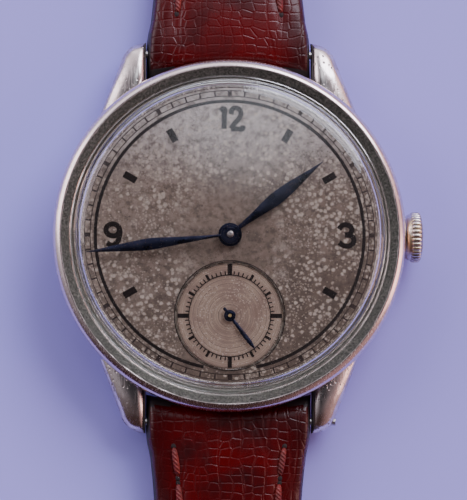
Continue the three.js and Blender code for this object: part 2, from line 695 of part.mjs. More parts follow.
function strapBody(length, pointed) {
  const lift = pointed ? 0 : KEEPER_T + 0.05;
  const { under, top } = strapSide(length, lift);
  const endZ = lift + 1.15;
  const lining = LINING_T + 0.03;
  const step = LINING_START - 0.2;
  const end = pointed
    ? [[length, lining], [length, 2.3]]
    : loopCircle(length, endZ, 1.15, -90, 90);
  const lower = [[step, 0.6], [step, 0.6 + lining], ...under.slice(1).map(([s, z]) => [s, z + lining])];
  const outline = [
    ...loopCircle(0, BAR_Z, BAR_LOOP_R, 90, 270),
    ...lower,
    ...(pointed ? [] : [[length - 5, lift + lining], [length - 4, lift]]),
    ...end,
    ...top.slice(1),
  ].map(([s, z]) => [BAR_Y + s, z]);
  const side = crossPrism(shapeOf(outline), -9, 9);
  const body = cut(
    side.intersect(strapPlan(length, pointed)),
    crossRod(BAR_R + 0.07, -10, 10, BAR_Y, BAR_Z),
  );
  if (pointed) return cut(body, ...tailHoles(length));
  return cut(
    body,
    crossRod(BUCKLE_BAR_R + 0.07, -10, 10, BAR_Y + length, endZ),
    block([-1.5, BAR_Y + length - 3.5, -1], [1.5, BAR_Y + length + 3, 6]),
  );
}

const tailHoles = (length) =>
  Array.from({ length: TAIL_HOLES }, (_, i) => rod(0.9, -1, 5, [0, BAR_Y + length - 22 - i * 6.5], 8));

function strapLining(length, pointed) {
  const lift = pointed ? 0 : KEEPER_T + 0.05;
  const end = pointed ? length - 1.5 : length - 5.2;
  const { under } = strapSide(length, lift);
  const line = [...under, [end, lift]];
  const raised = line.map(([s, z]) => [s, z + LINING_T]).reverse();
  const outline = [...line, ...raised].map(([s, z]) => [BAR_Y + s, z]);
  const body = crossPrism(shapeOf(outline), -9, 9).intersect(
    strapPlan(length, pointed).intersect(block([-8, 0, -3], [8, 200, 9])),
  );
  return pointed ? cut(body, ...tailHoles(length)) : body;
}

const sixSide = (made) => made.mirror([0, 1, 0]);
const endY = BAR_Y + BUCKLE_HALF;
const endZ = KEEPER_T + 0.05 + 1.15;

// The buckle lies with its far bar on the table, so it leans down from the bar it hangs on.
const lean = (made) => move(move(made, 0, -endY, -endZ).rotate([-BUCKLE_LEAN, 0, 0]), 0, endY, endZ);

// ---- Buckle and keepers -------------------------------------------------------------------------
function buckleFrame() {
  const arm = block([END_HALF + 0.35, endY - 1.3, endZ - 0.75], [END_HALF + 1.75, endY + 9, endZ + 0.75]);
  const cross = crossRod(1, -END_HALF - 1.75, END_HALF + 1.75, endY + 9, endZ, SMALL);
  return lean(
    cut(join(arm, arm.mirror([1, 0, 0]), cross), crossRod(BUCKLE_BAR_R + 0.03, -10, 10, endY, endZ, 8)),
  );
}

const buckleBar = () => lean(crossRod(BUCKLE_BAR_R, -END_HALF - 1.7, END_HALF + 1.7, endY, endZ, 8));

function buckleTongue() {
  const side = new THREE.Shape();
  side.moveTo(endY - 1, endZ - 0.6);
  side.lineTo(endY + 1.1, endZ - 0.6);
  side.lineTo(endY + 7, endZ + 1.2);
  side.lineTo(endY + 10.2, endZ + 1.06);
  side.lineTo(endY + 10.2, endZ + 1.5);
  side.lineTo(endY + 7, endZ + 1.9);
  side.lineTo(endY + 0.6, endZ + 1);
  side.lineTo(endY - 1, endZ + 0.8);
  return lean(cut(crossPrism(side, -0.7, 0.7), crossRod(BUCKLE_BAR_R + 0.05, -2, 2, endY, endZ, 8)));
}

function keeper(y, width) {
  const half = END_HALF + 0.25;
  const top = KEEPER_T + 5;
  return cut(
    block([-half - KEEPER_T, y, 0], [half + KEEPER_T, y + width, top + KEEPER_T]),
    block([-half, y - 1, KEEPER_T], [half, y + width + 1, top]),
  );
}

// ---- The watch ----------------------------------------------------------------------------------
const finishes = {
  polishedSteel: { color: 0xc9c6c4, roughness: 0.2, metalness: 1 },
  plainSteel: { color: 0xa9a8a8, roughness: 0.35, metalness: 1 },
  bluedSteel: { color: 0x171b2b, roughness: 0.3, metalness: 0.8 },
  brass: { color: 0xb99a5a, roughness: 0.3, metalness: 1 },
  nickel: { color: 0xbdb5a5, roughness: 0.35, metalness: 1 },
  crystal: { color: 0xdfe4e0, roughness: 0.05, metalness: 0 },
  dialPaint: { color: 0x7d6d67, roughness: 0.6, metalness: 0.1 },
  secondsPaint: { color: 0x9a8478, roughness: 0.5, metalness: 0.2 },
  leather: { color: 0x671a1a, roughness: 0.5, metalness: 0 },
  liningLeather: { color: 0x8a5a3c, roughness: 0.8, metalness: 0 },
  rubber: { color: 0x222222, roughness: 0.8, metalness: 0 },
};

const watch = new THREE.Group();

function add(name, made, finish) {
  const mesh = new THREE.Mesh(geometryOf(made), new THREE.MeshStandardMaterial(finishes[finish]));
  mesh.name = name;
  watch.add(mesh);
}

add("case_middle", caseMiddle(), "plainSteel");
add("bezel", bezel(), "polishedSteel");
add("crystal", crystal(), "crystal");
add("case_back", caseBack(), "plainSteel");
add("crown_tube", crownTube(), "plainSteel");
CLAMP_ANGLES.forEach((angle, i) => add(`case_clamp_${i + 1}`, caseClamp(angle), "plainSteel"));

add("crown", crown(), "polishedSteel");
add("crown_gasket", crownGasket(), "rubber");
add("winding_stem", stem(), "plainSteel");
add("winding_pinion", windingPinion(), "plainSteel");
add("clutch_wheel", clutch(), "plainSteel");
add("setting_lever", settingLever(), "plainSteel");
add("clutch_yoke", yoke(), "plainSteel");

add("main_plate", mainPlate(), "nickel");
add("barrel_bridge", barrelBridge(), "nickel");
add("train_bridge", trainBridge(), "nickel");
add("pallet_bridge", palletBridge(), "nickel");
add("balance_cock", balanceCock(), "nickel");
add("regulator", regulator(), "plainSteel");

add("barrel", barrel(), "brass");
add("barrel_cover", barrelCover(), "brass");
add("mainspring", mainspring(), "bluedSteel");
add("barrel_arbor", barrelArbor(), "plainSteel");
add("ratchet_wheel", ratchetWheel(), "plainSteel");
add("ratchet_screw", ratchetScrew(), "bluedSteel");
add("crown_wheel", crownWheel(), "plainSteel");
add("crown_wheel_screw", crownWheelScrew(), "bluedSteel");
add("click", click(), "plainSteel");

add("centre_wheel", centreWheel(), "brass");
add("third_wheel", thirdWheel(), "brass");
add("fourth_wheel", fourthWheel(), "brass");
add("escape_wheel", escapeWheel(), "plainSteel");
add("pallet_fork", palletFork(), "plainSteel");
add("balance_wheel", balanceWheel(), "brass");
add("hairspring", hairspring(), "bluedSteel");

add("cannon_pinion", cannonPinion(), "plainSteel");
add("minute_wheel", minuteWheel(), "brass");
add("hour_wheel", hourWheel(), "brass");
add("dial", dial(), "dialPaint");
add("seconds_dial", secondsDial(), "secondsPaint");
add("hour_hand", hourHand(), "bluedSteel");
add("minute_hand", minuteHand(), "bluedSteel");
add("seconds_hand", secondsHand(), "bluedSteel");

for (const [side, y] of [["12", BAR_Y], ["6", -BAR_Y]]) {
  add(`spring_bar_${side}`, barTube(y), "plainSteel");
  add(`bar_pin_${side}_left`, barPin(y, -1, PIN_TIP), "plainSteel");
  add(`bar_pin_${side}_right`, barPin(y, 1, side === "6" ? PROUD_PIN_TIP : PIN_TIP), "plainSteel");
}

add("strap_buckle_half", strapBody(BUCKLE_HALF, false), "leather");
add("strap_buckle_lining", strapLining(BUCKLE_HALF, false), "liningLeather");
add("strap_tail_half", sixSide(strapBody(TAIL_HALF, true)), "leather");
add("strap_tail_lining", sixSide(strapLining(TAIL_HALF, true)), "liningLeather");
add("buckle_frame", buckleFrame(), "polishedSteel");
add("buckle_bar", buckleBar(), "plainSteel");
add("buckle_tongue", buckleTongue(), "polishedSteel");
add("fixed_keeper", keeper(endY - 9, 3.5), "leather");
add("free_keeper", keeper(endY - 19, 4), "leather");

export default watch;
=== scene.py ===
"""A hand-wound wristwatch of the 1940s, worn and unrestored: steel case, domed acrylic crystal, spotted dial
with sunk small seconds, blued leaf hands, and an open strap of red lizard-grained leather. Shapes are made in
millimetres and turned into metres by MM; materials, lights and camera are in metres. +Y is towards 12 o'clock
and +X towards the crown."""

import json
import random
from math import cos, exp, hypot, pi, radians, sin, sqrt

import bmesh
import bpy
from mathutils import Matrix, Vector


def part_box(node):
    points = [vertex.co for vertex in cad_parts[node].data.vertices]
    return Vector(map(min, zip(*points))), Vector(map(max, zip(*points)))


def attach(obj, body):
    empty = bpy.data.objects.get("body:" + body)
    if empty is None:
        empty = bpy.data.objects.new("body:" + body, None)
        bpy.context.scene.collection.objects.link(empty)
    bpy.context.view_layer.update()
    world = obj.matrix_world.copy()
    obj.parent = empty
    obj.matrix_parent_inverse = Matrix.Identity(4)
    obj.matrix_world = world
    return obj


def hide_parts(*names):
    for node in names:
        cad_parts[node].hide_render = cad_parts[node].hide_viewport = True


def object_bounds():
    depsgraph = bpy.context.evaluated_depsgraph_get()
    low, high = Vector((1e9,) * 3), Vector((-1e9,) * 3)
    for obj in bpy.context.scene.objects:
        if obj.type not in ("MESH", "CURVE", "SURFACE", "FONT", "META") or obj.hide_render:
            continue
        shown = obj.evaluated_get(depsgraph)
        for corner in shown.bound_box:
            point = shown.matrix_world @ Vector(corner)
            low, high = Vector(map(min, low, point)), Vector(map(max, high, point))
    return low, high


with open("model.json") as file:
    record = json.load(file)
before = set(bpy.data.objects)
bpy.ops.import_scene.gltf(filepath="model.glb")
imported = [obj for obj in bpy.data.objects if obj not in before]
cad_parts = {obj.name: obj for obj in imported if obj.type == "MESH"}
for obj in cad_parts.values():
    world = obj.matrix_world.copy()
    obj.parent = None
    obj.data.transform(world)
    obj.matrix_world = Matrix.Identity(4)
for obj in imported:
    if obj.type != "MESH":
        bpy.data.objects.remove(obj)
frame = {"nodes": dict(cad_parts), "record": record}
CAD_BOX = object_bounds()
random.seed(7)

MM = 0.001
WELD = 1e-4  # points closer than this, in millimetres, are joined


def box_mm(node):
    """A CAD node's lowest and highest corner, in millimetres."""
    low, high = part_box(node)
    return [c / MM for c in low], [c / MM for c in high]


def middle_mm(node):
    """The middle of a CAD node across Y and Z, in millimetres."""
    low, high = box_mm(node)
    return (low[1] + high[1]) / 2, (low[2] + high[2]) / 2


# ---- Driving sizes, from the frame ----
BEZEL_R = box_mm("bezel")[1][0]
CRYSTAL_FOOT = box_mm("crystal")[0][2]
CRYSTAL_R, _, CRYSTAL_TOP = box_mm("crystal")[1]
DIAL_R, _, DIAL_TOP = box_mm("dial")[1]
DIAL_UNDER = DIAL_TOP - 0.4
SUNK_LOW, SUNK_HIGH = box_mm("seconds_dial")
SUNK_R = (SUNK_HIGH[1] - SUNK_LOW[1]) / 2
SECONDS_Y = middle_mm("seconds_dial")[0]
LUG_TIP_Y = box_mm("case_middle")[1][1]
LUG_INNER_X = 8.5
MIDDLE_R = 16.9
BAR_Y, BAR_Z = middle_mm("spring_bar_12")
CROWN_LOW, CROWN_HIGH = box_mm("crown")
CROWN_R = (CROWN_HIGH[1] - CROWN_LOW[1]) / 2
STEM_Z = middle_mm("crown")[1]
BUCKLE_Y, BUCKLE_Z = middle_mm("buckle_bar")
TAIL_LENGTH = -box_mm("strap_tail_half")[0][1] - BAR_Y
BUCKLE_HALF_LENGTH = BUCKLE_Y - BAR_Y


# ---- Shader building ----
def connect(socket, value):
    """Links a value to a node's input, or sets the input to a plain number, place or colour."""
    if isinstance(value, Value):
        value.tree.links.new(value.socket, socket)
    else:
        socket.default_value = value


def add_node(tree, kind, settings=None, **inputs):
    """Adds a node; its inputs go by name, with _ for a space, or by number as i0, i1 and so on."""
    node = tree.nodes.new(kind)
    for name, value in (settings or {}).items():
        setattr(node, name, value)
    for name, value in inputs.items():
        numbered = name[0] == "i" and name[1:].isdigit()
        connect(node.inputs[int(name[1:]) if numbered else name.replace("_", " ")], value)
    return node


class Value:
    """What a node gives out. Sums and calls on it add the nodes that work them out, in the same tree."""

    def __init__(self, tree, socket):
        self.tree, self.socket = tree, socket

    def new(self, kind, settings=None, output=0, **inputs):
        return Value(self.tree, add_node(self.tree, kind, settings, **inputs).outputs[output])

    def maths(self, operation, other=0.0):
        return self.new("ShaderNodeMath", {"operation": operation}, i0=self, i1=other)

    def __add__(self, other):
        return self.maths("ADD", other)

    def __sub__(self, other):
        return self.maths("SUBTRACT", other)

    def __rsub__(self, other):
        return self.new("ShaderNodeMath", {"operation": "SUBTRACT"}, i0=other, i1=self)

    def __mul__(self, other):
        return self.maths("MULTIPLY", other)

    def __abs__(self):
        return self.maths("ABSOLUTE")

    def most(self, other):
        """The greater of the two."""
        return self.maths("MAXIMUM", other)

    def ramp(self, low, high, to_low=0.0, to_high=1.0):
        """An eased climb from to_low at low to to_high at high; low may be the greater."""
        return self.new("ShaderNodeMapRange", {"interpolation_type": "SMOOTHSTEP"}, Value=self, From_Min=low,
                        From_Max=high, To_Min=to_low, To_Max=to_high)

    def mix(self, a, b):
        """The colour a where this is 0 and b where it is 1."""
        a, b = (tone if isinstance(tone, Value) else (*tone, 1.0) for tone in (a, b))
        return self.new("ShaderNodeMix", {"data_type": "RGBA"}, output=2, i0=self, i6=a, i7=b)

    def bump(self, strength, depth):
        return self.new("ShaderNodeBump", Height=self, Strength=strength, Distance=depth)

    # The calls from here on are made on a place.
    def noise(self, scale, detail=3.0, roughness=0.55, output=0):
        return self.new("ShaderNodeTexNoise", output=output, Vector=self, Scale=scale, Detail=detail,
                        Roughness=roughness)

    def voronoi(self, scale, feature="F1", randomness=1.0):
        return self.new("ShaderNodeTexVoronoi", {"feature": feature}, Vector=self, Scale=scale,
                        Randomness=randomness)

    def stretched(self, scale=(1, 1, 1), location=(0, 0, 0), rotation=(0, 0, 0)):
        return self.new("ShaderNodeMapping", Vector=self, Scale=scale, Location=location, Rotation=rotation)

    def warped(self, scale, detail, reach):
        """The place pushed about in X and Y by noise."""
        push = self.noise(scale, detail, 0.5, output=1)
        sideways = (reach, reach, 0.0)
        return self.new("ShaderNodeVectorMath", {"operation": "MULTIPLY_ADD"}, i0=push, i1=sideways, i2=self)

    def parts(self):
        """X, Y and Z."""
        split = add_node(self.tree, "ShaderNodeSeparateXYZ", Vector=self)
        return [Value(self.tree, socket) for socket in split.outputs]

    def radius(self):
        """The distance from the object's Z axis."""
        x, y, _ = self.parts()
        return (x * x + y * y).maths("SQRT")

    def specks(self, scale, size):
        return use(SPECKS, Place=self, Scale=scale, Size=size)["Mask"]

    def scratches(self, scale=120.0):
        return use(SCRATCHES, Place=self, Scale=scale)["Mask"]


def effect(name, inputs, outputs, build):
    """A shader group: inputs are (name, default), outputs are names, and build gives a value for each."""
    tree = bpy.data.node_groups.new(name, "ShaderNodeTree")
    for label, default in inputs:
        kind = "NodeSocketVector" if label == "Place" else "NodeSocketFloat"
        socket = tree.interface.new_socket(label, in_out="INPUT", socket_type=kind)
        if default is not None:
            socket.default_value = default
    for label in outputs:
        tree.interface.new_socket(label, in_out="OUTPUT", socket_type="NodeSocketFloat")
    start = tree.nodes.new("NodeGroupInput")
    end = tree.nodes.new("NodeGroupOutput")
    given = [Value(tree, start.outputs[label]) for label, _ in inputs]
    for label, value in zip(outputs, build(*given)):
        connect(end.inputs[label], value)
    return tree


def use(group, **inputs):
    """Adds a shared effect to the tree that its Place is in, and gives its outputs by name."""
    tree = inputs["Place"].tree
    node = add_node(tree, "ShaderNodeGroup", {"node_tree": group}, **inputs)
    return {socket.name: Value(tree, socket) for socket in node.outputs}


def build_specks(place, scale, size):
    """Small soft dots, gathered in drifts."""
    size = place.noise(scale * 0.14).ramp(0.34, 0.56, 0.12, 1.0) * size
    fringe = place.noise(scale * 4.0) * 0.12
    return [(place.voronoi(scale) + fringe).ramp(size, size * 0.55)]


def build_scratches(place, scale):
    """Hairlines that run every way, from three stretched noises."""
    a, b, c = (
        place.stretched((stretch, 1.2, stretch), rotation=(0.1, 0.0, turn)).noise(scale, 1.0).ramp(0.63, 0.72)
        for turn, stretch in ((0.3, 40.0), (1.5, 55.0), (2.6, 34.0))
    )
    return [a.most(b).most(c)]


def build_rings(place, scale):
    """Fine turned lines round the Z axis."""
    return [place.new("ShaderNodeCombineXYZ", X=place.radius() * scale).noise(1.0, 4.0, 0.7)]


def build_grain(place):
    """Lizard grain: warped rows of small scales, and furrows along the strap between their columns."""
    bent = place.warped(210.0, 2.0, 0.0013)
    scales = bent.stretched((0.9, 1.2, 0.3)).voronoi(930.0, "DISTANCE_TO_EDGE", 0.4).ramp(0.0, 0.13)
    columns = bent.stretched((1.0, 0.12, 0.3)).voronoi(470.0, "DISTANCE_TO_EDGE", 0.8).ramp(0.0, 0.07)
    return [(scales * 0.65 + 0.35) * (columns * 0.6 + 0.4), 1.0 - scales * columns]


PLACE = ("Place", None)
SPECKS = effect("specks", [PLACE, ("Scale", 1500.0), ("Size", 0.4)], ["Mask"], build_specks)
SCRATCHES = effect("hairline_scratches", [PLACE, ("Scale", 120.0)], ["Mask"], build_scratches)
TURNED = effect("turned_rings", [PLACE, ("Scale", 6000.0)], ["Height"], build_rings)
GRAIN = effect("lizard_grain", [PLACE], ["Height", "Crease"], build_grain)


def material(name, build, **plain):
    """A material with plain numbers on its shader's own sockets, and what build gives: a colour, a roughness,
    a bump and a share of metal, as many of them as it needs."""
    made = bpy.data.materials.new(name)
    made.use_nodes = True
    tree = made.node_tree
    shader = tree.nodes["Principled BSDF"]
    for label, value in plain.items():
        shader.inputs[label.replace("_", " ")].default_value = value
    place = Value(tree, add_node(tree, "ShaderNodeTexCoord").outputs["Object"])
    for label, value in zip(("Base Color", "Roughness", "Normal", "Metallic"), build(place)):
        connect(shader.inputs[label], value)
    return made


# ---- Finishes ----
def steel(name, tint, dark, rough, wear, pits):
    """Old stainless steel: hairlines, a mottled dullness and corrosion pits that gather in drifts."""

    def build(place):
        scratches, pitted, cloud = place.scratches(), place.specks(2300.0, pits), place.noise(420.0, 5.0)
        base = cloud.ramp(0.35, 0.7).mix(tint, dark)
        dull = scratches * wear + cloud.ramp(0.3, 0.75, rough, rough * 1.7)
        height = cloud * 0.6 - (pitted + scratches * 0.15)
        return ((pitted * 0.85).mix(base, (0.09, 0.07, 0.06)), dull.most(pitted * 0.6),
                height.bump(0.35, 0.06 * MM))

    return material(name, build, Metallic=1.0)


def build_case_steel(place):
    """Worn steel, pitted where the lugs meet the bezel, with near-black painted shade on the lugs' inner
    faces and the case band between them, beside the strap.
    """
    x, y, _ = place.parts()
    wobble = place.noise(1500.0, 4.0) * 0.0016 + place.radius()
    joint = wobble.ramp(0.0200, 0.0182)
    # Painted shade: near black on the lugs' inner faces and the case band between them, where the strap sits.
    lug_gap_shade = abs(x).ramp(0.0088, 0.0085) * abs(y).ramp(0.0150, 0.0160)
    scratches, cloud = place.scratches(), place.noise(520.0, 5.0)
    pitted = (place.specks(3600.0, 0.42) * joint).most(place.specks(2300.0, 0.42) * 0.8)
    # The pits are the steel's own wear; the part of this mask between the lugs is painted shade.
    pits_and_gap_shade = lug_gap_shade.most(pitted * 0.9)
    base = cloud.ramp(0.35, 0.7).mix((0.86, 0.79, 0.75), (0.56, 0.49, 0.46))
    dull = scratches * 0.12 + cloud.ramp(0.3, 0.75, 0.15, 0.3)
    height = cloud * 0.8 - (pitted + scratches * 0.05)
    return (pits_and_gap_shade.mix(base, (0.05, 0.042, 0.038)), dull.most(pits_and_gap_shade * 0.7), height.bump(0.45, 0.06 * MM),
            pits_and_gap_shade.ramp(0.3, 0.9, 1.0, 0.2))


def build_bezel_steel(place):
    """Polished outside; grey caked dirt on the inner slope against the crystal, and a stain at the foot."""
    wobble = place.noise(700.0, 5.0) * 0.00034 + place.radius()
    dirt = wobble.ramp(0.01742, 0.01728) * place.noise(3800.0, 2.0).ramp(0.3, 0.5, 0.92, 1.0)
    stain = place.parts()[2].ramp(0.00535, 0.0050) * place.noise(900.0, 4.0).ramp(0.4, 0.6)
    covered = dirt.most(stain * 0.8)
    grain = place.noise(4600.0, 4.0, 0.7)
    bright = place.noise(260.0).mix((0.86, 0.74, 0.7), (0.68, 0.58, 0.56))
    soil = grain.ramp(0.3, 0.7).mix((0.008, 0.008, 0.006), (0.095, 0.098, 0.083))
    polish = place.scratches(150.0) * 0.14 + 0.2
    height = place.noise(330.0, 2.0) * 0.8 + grain * covered * 1.2
    return (covered.mix(bright, soil), polish.most(covered * 0.85), height.bump(0.3, 0.05 * MM),
            covered.ramp(0.2, 0.8, 1.0, 0.0))


def build_acrylic(place):
    """Clear plastic gone faintly yellow, with hairlines that lift its roughness."""
    scratches = place.scratches(110.0)
    haze = place.noise(300.0, 4.0).ramp(0.35, 0.8, 0.0, 0.012)
    tint = place.noise(80.0).mix((0.985, 0.99, 0.97), (0.96, 0.97, 0.94))
    return tint, haze.most(scratches * 0.05), scratches.bump(0.1, 0.01 * MM)


def lit_through(made):
    """Lets light fall through a clear material, which would otherwise shade what is under it."""
    tree = made.node_tree
    clear = add_node(tree, "ShaderNodeBsdfTransparent", Color=(0.93, 0.94, 0.92, 1.0))
    shadow = add_node(tree, "ShaderNodeLightPath").outputs["Is Shadow Ray"]
    blend = add_node(
        tree, "ShaderNodeMixShader", Fac=Value(tree, shadow),
        i1=Value(tree, tree.nodes["Principled BSDF"].outputs[0]), i2=Value(tree, clear.outputs[0]),
    )
    tree.links.new(blend.outputs[0], tree.nodes["Material Output"].inputs["Surface"])
    return made


def build_dial_lacquer(place):
    """Brown-grey lacquer with painted light and shade: paler towards 12 and darker towards the lower right;
    dense with pale spots where it has lifted, and darker stains.
    """
    x, y, _ = place.parts()
    cloud = place.noise(260.0, 6.0, 0.65)
    # The slope in this tone is painted shade towards the lower right and painted light towards the upper
    # left; the cloud is the lacquer's own.
    tone = (cloud * 1.3 + (x * 18.0 - y * 22.0)).ramp(0.3, 1.1)
    base = tone.mix((0.155, 0.118, 0.096), (0.07, 0.049, 0.037))
    patch = place.stretched(location=(0.02, 0.007, 0.0)).noise(420.0, 7.0, 0.72).ramp(0.52, 0.68)
    base = (patch * 0.5).mix(base, (0.25, 0.21, 0.18))
    # Painted light: the lacquer is lightened towards 12, a painted wash of the glow from that side.
    painted_light_at_12 = y.ramp(0.004, 0.013, 0.0, 0.8).mix(base, (0.34, 0.315, 0.31))
    mottled = place.noise(1300.0, 6.0, 0.75).ramp(0.4, 0.66, 0.0, 0.8).mix(painted_light_at_12, (0.045, 0.031, 0.024))
    away = place.radius().ramp(0.0035, 0.0075) * (x - y).ramp(-0.017, -0.006, 0.7, 1.0)
    ragged = place.warped(2600.0, 3.0, 0.00028)
    fine, coarse = ragged.specks(3400.0, 0.55), ragged.specks(1250.0, 0.4)
    medium = ragged.stretched(location=(0.004, 0.011, 0.0)).specks(1850.0, 0.56)
    spots = (fine * 0.35).most(medium * 0.62).most(coarse * 0.75) * away
    dark = place.stretched(location=(0.013, 0.002, 0.0)).specks(2500.0, 0.36)
    face = (dark * 0.6).mix(mottled, (0.03, 0.018, 0.015))
    return (spots.mix(face, (0.36, 0.31, 0.265)), cloud.ramp(0.3, 0.7, 0.42, 0.6),
            (spots - dark).bump(0.35, 0.02 * MM))


def build_seconds_lacquer(place):
    """The sunk dial: paler, with fine turned rings and spots."""
    centred = place.stretched(location=(0.0, -SECONDS_Y * MM, 0.0))
    rings = use(TURNED, Place=centred, Scale=9000.0)["Height"]
    base = rings.ramp(0.36, 0.64).mix((0.1, 0.068, 0.05), (0.31, 0.235, 0.185))
    aged = place.noise(330.0, 4.0).ramp(0.4, 0.75).mix(base, (0.13, 0.085, 0.068))
    spotted = (place.specks(4300.0, 0.45) * 0.6).mix(aged, (0.36, 0.30, 0.26))
    return spotted, rings.ramp(0.2, 0.8, 0.3, 0.5), rings.bump(0.5, 0.02 * MM)


def ink(name, tone, worn):
    """Printed lacquer, thinned in places."""

    def build(place):
        thin = place.noise(5000.0).ramp(0.5, 0.8)
        return thin.mix(tone, worn), thin.ramp(0.0, 1.0, 0.45, 0.7), thin.bump(0.3, 0.01 * MM)

    return material(name, build, Specular_IOR_Level=0.1)


def plain_metal(name, tint, dark, rough):
    """A movement or small steel part: mottled tarnish and hairlines."""

    def build(place):
        cloud, scratches = place.noise(900.0, 4.0), place.scratches(160.0)
        dull = cloud.ramp(0.3, 0.7, rough, rough * 1.6).most(scratches * (rough * 1.8))
        return cloud.ramp(0.35, 0.7).mix(tint, dark), dull, (cloud + scratches).bump(0.15, 0.03 * MM)

    return material(name, build, Metallic=1.0)


def build_blued(place):
    """Heat-blued steel, dulled by brown specks."""
    cloud, rust = place.noise(700.0, 4.0), place.specks(3600.0, 0.4)
    base = cloud.ramp(0.35, 0.7).mix((0.012, 0.014, 0.032), (0.026, 0.028, 0.055))
    return ((rust * 0.6).mix(base, (0.08, 0.05, 0.04)), cloud.ramp(0.3, 0.7, 0.24, 0.42),
            rust.bump(0.3, 0.02 * MM))


def build_striped_nickel(place):
    """Bridges with straight stripes under a worn nickel plate."""
    x, y, _ = place.parts()
    stripe = ((x + y * 0.35) * 4200.0).maths("SINE") * 0.5 + 0.5
    cloud = place.noise(500.0, 4.0)
    base = cloud.ramp(0.4, 0.75).mix((0.66, 0.63, 0.57), (0.52, 0.45, 0.34))
    return base, stripe.ramp(0.0, 1.0, 0.22, 0.4), (stripe + cloud * 0.3).bump(0.2, 0.03 * MM)


def build_crown_steel(place):
    """Steel worn back to its yellow undertone on the knurls, with dirt between them."""
    x, y, z = place.parts()
    z = z - STEM_Z * MM
    between = (y * y + z * z).maths("SQRT").ramp(0.00251, 0.00245) * x.ramp(0.01862, 0.01872)
    cloud = place.noise(650.0, 4.0)
    dirt = between * x.ramp(0.01985, 0.01965) * cloud.ramp(0.25, 0.6, 0.1, 0.75)
    base = cloud.ramp(0.42, 0.62).mix((0.66, 0.62, 0.6), (0.72, 0.58, 0.36))
    return (dirt.mix(base, (0.03, 0.024, 0.02)), cloud.ramp(0.3, 0.7, 0.2, 0.36),
            place.noise(2400.0).bump(0.25, 0.04 * MM), dirt.ramp(0.3, 1.0, 1.0, 0.2))


def build_leather(place):
    """Waxed lizard: painted highlights on its creases in patches, its ground clouded with age and darker at
    the margins.
    """
    deep = (0.03, 0.001, 0.002)
    grain = use(GRAIN, Place=place)
    cloud, fine = place.noise(190.0, 4.0), place.noise(6500.0, 2.0)
    margin = abs(place.parts()[0]).ramp(0.004, 0.0078, 0.0, 0.75)
    ground = margin.mix(cloud.ramp(0.38, 0.75).mix((0.092, 0.0015, 0.0025), deep), deep)
    # Painted highlight: the creases are lightened in patches, standing in for glints on the grain.
    painted_crease_glint = grain["Crease"] * place.noise(240.0).ramp(0.42, 0.7, 0.0, 0.14)
    rough = (cloud + fine * 0.3).ramp(0.4, 0.95, 0.2, 0.36)
    depth = place.noise(150.0).ramp(0.4, 0.62, 0.3, 1.0)
    height = (grain["Height"] - 1.0) * depth + fine * 0.12
    return painted_crease_glint.mix(ground, (0.17, 0.02, 0.02)), rough, height.bump(0.55, 0.11 * MM)


def build_lining(place):
    """Smooth calf, darkened by wear, with pores."""
    cloud, pores = place.noise(160.0, 5.0), place.specks(3200.0, 0.42)
    base = cloud.ramp(0.35, 0.7).mix((0.33, 0.17, 0.095), (0.15, 0.07, 0.04))
    return ((pores * 0.6).mix(base, (0.07, 0.03, 0.02)), cloud.ramp(0.3, 0.7, 0.55, 0.75),
            (cloud - pores).bump(0.4, 0.05 * MM))


def build_thread(place):
    """Waxed red thread: plies across each stitch."""
    x, y, _ = place.parts()
    twist = ((y + x * 0.9) * 15000.0).maths("SINE")
    cloud = place.noise(900.0)
    base = cloud.ramp(0.35, 0.7).mix((0.19, 0.017, 0.013), (0.09, 0.009, 0.008))
    return base, cloud.ramp(0.3, 0.7, 0.45, 0.65), twist.bump(0.6, 0.05 * MM)


def dark_matter(name, tone, lighter, rough=0.8):
    """Dull dark stuff: painted edges, rubber, and the painted shade of needle holes."""

    def build(place):
        cloud = place.noise(1200.0, 4.0)
        return cloud.mix(tone, lighter), cloud.ramp(0.3, 0.7, rough * 0.8, rough), cloud.bump(0.4, 0.06 * MM)

    return material(name, build)


POLISHED = steel("polished_steel", (0.80, 0.76, 0.75), (0.60, 0.57, 0.57), 0.14, 0.3, 0.22)
WORN = steel("worn_steel", (0.84, 0.76, 0.71), (0.54, 0.47, 0.43), 0.26, 0.34, 0.32)
CASE_STEEL = material("case_steel", build_case_steel)
BEZEL_STEEL = material("bezel_steel", build_bezel_steel)
CROWN_STEEL = material("crown_steel", build_crown_steel)
ACRYLIC = lit_through(material("acrylic", build_acrylic, Transmission_Weight=1.0, IOR=1.49))
DIAL_LACQUER = material("dial_lacquer", build_dial_lacquer, Specular_IOR_Level=0.25)
SECONDS_LACQUER = material("seconds_lacquer", build_seconds_lacquer, Specular_IOR_Level=0.3)
PRINT_INK = ink("print_ink", (0.006, 0.004, 0.004), (0.022, 0.015, 0.013))
FINE_INK = ink("fine_print_ink", (0.014, 0.009, 0.008), (0.045, 0.03, 0.026))
STEEL = plain_metal("plain_steel", (0.62, 0.61, 0.6), (0.42, 0.4, 0.38), 0.28)
DARK_STEEL = plain_metal("tarnished_steel", (0.26, 0.24, 0.24), (0.12, 0.11, 0.11), 0.3)
BRASS = plain_metal("brass", (0.74, 0.56, 0.27), (0.48, 0.33, 0.14), 0.26)
BLUED = material("blued_steel", build_blued, Metallic=1.0)
NICKEL = material("striped_nickel", build_striped_nickel, Metallic=1.0)
LEATHER = material("strap_leather", build_leather, Specular_IOR_Level=0.34)
LEATHER_EDGE = dark_matter("edge_paint", (0.013, 0.009, 0.01), (0.03, 0.022, 0.024), 0.6)
LINING = material("lining_leather", build_lining)
THREAD = material("waxed_thread", build_thread)
# Painted shade: the needle holes are dark blobs, not openings.
HOLE_SHADE = dark_matter("needle_hole_shade", (0.004, 0.001, 0.001), (0.012, 0.003, 0.003))
RUBBER = dark_matter("gasket_rubber", (0.02, 0.02, 0.02), (0.045, 0.045, 0.045))

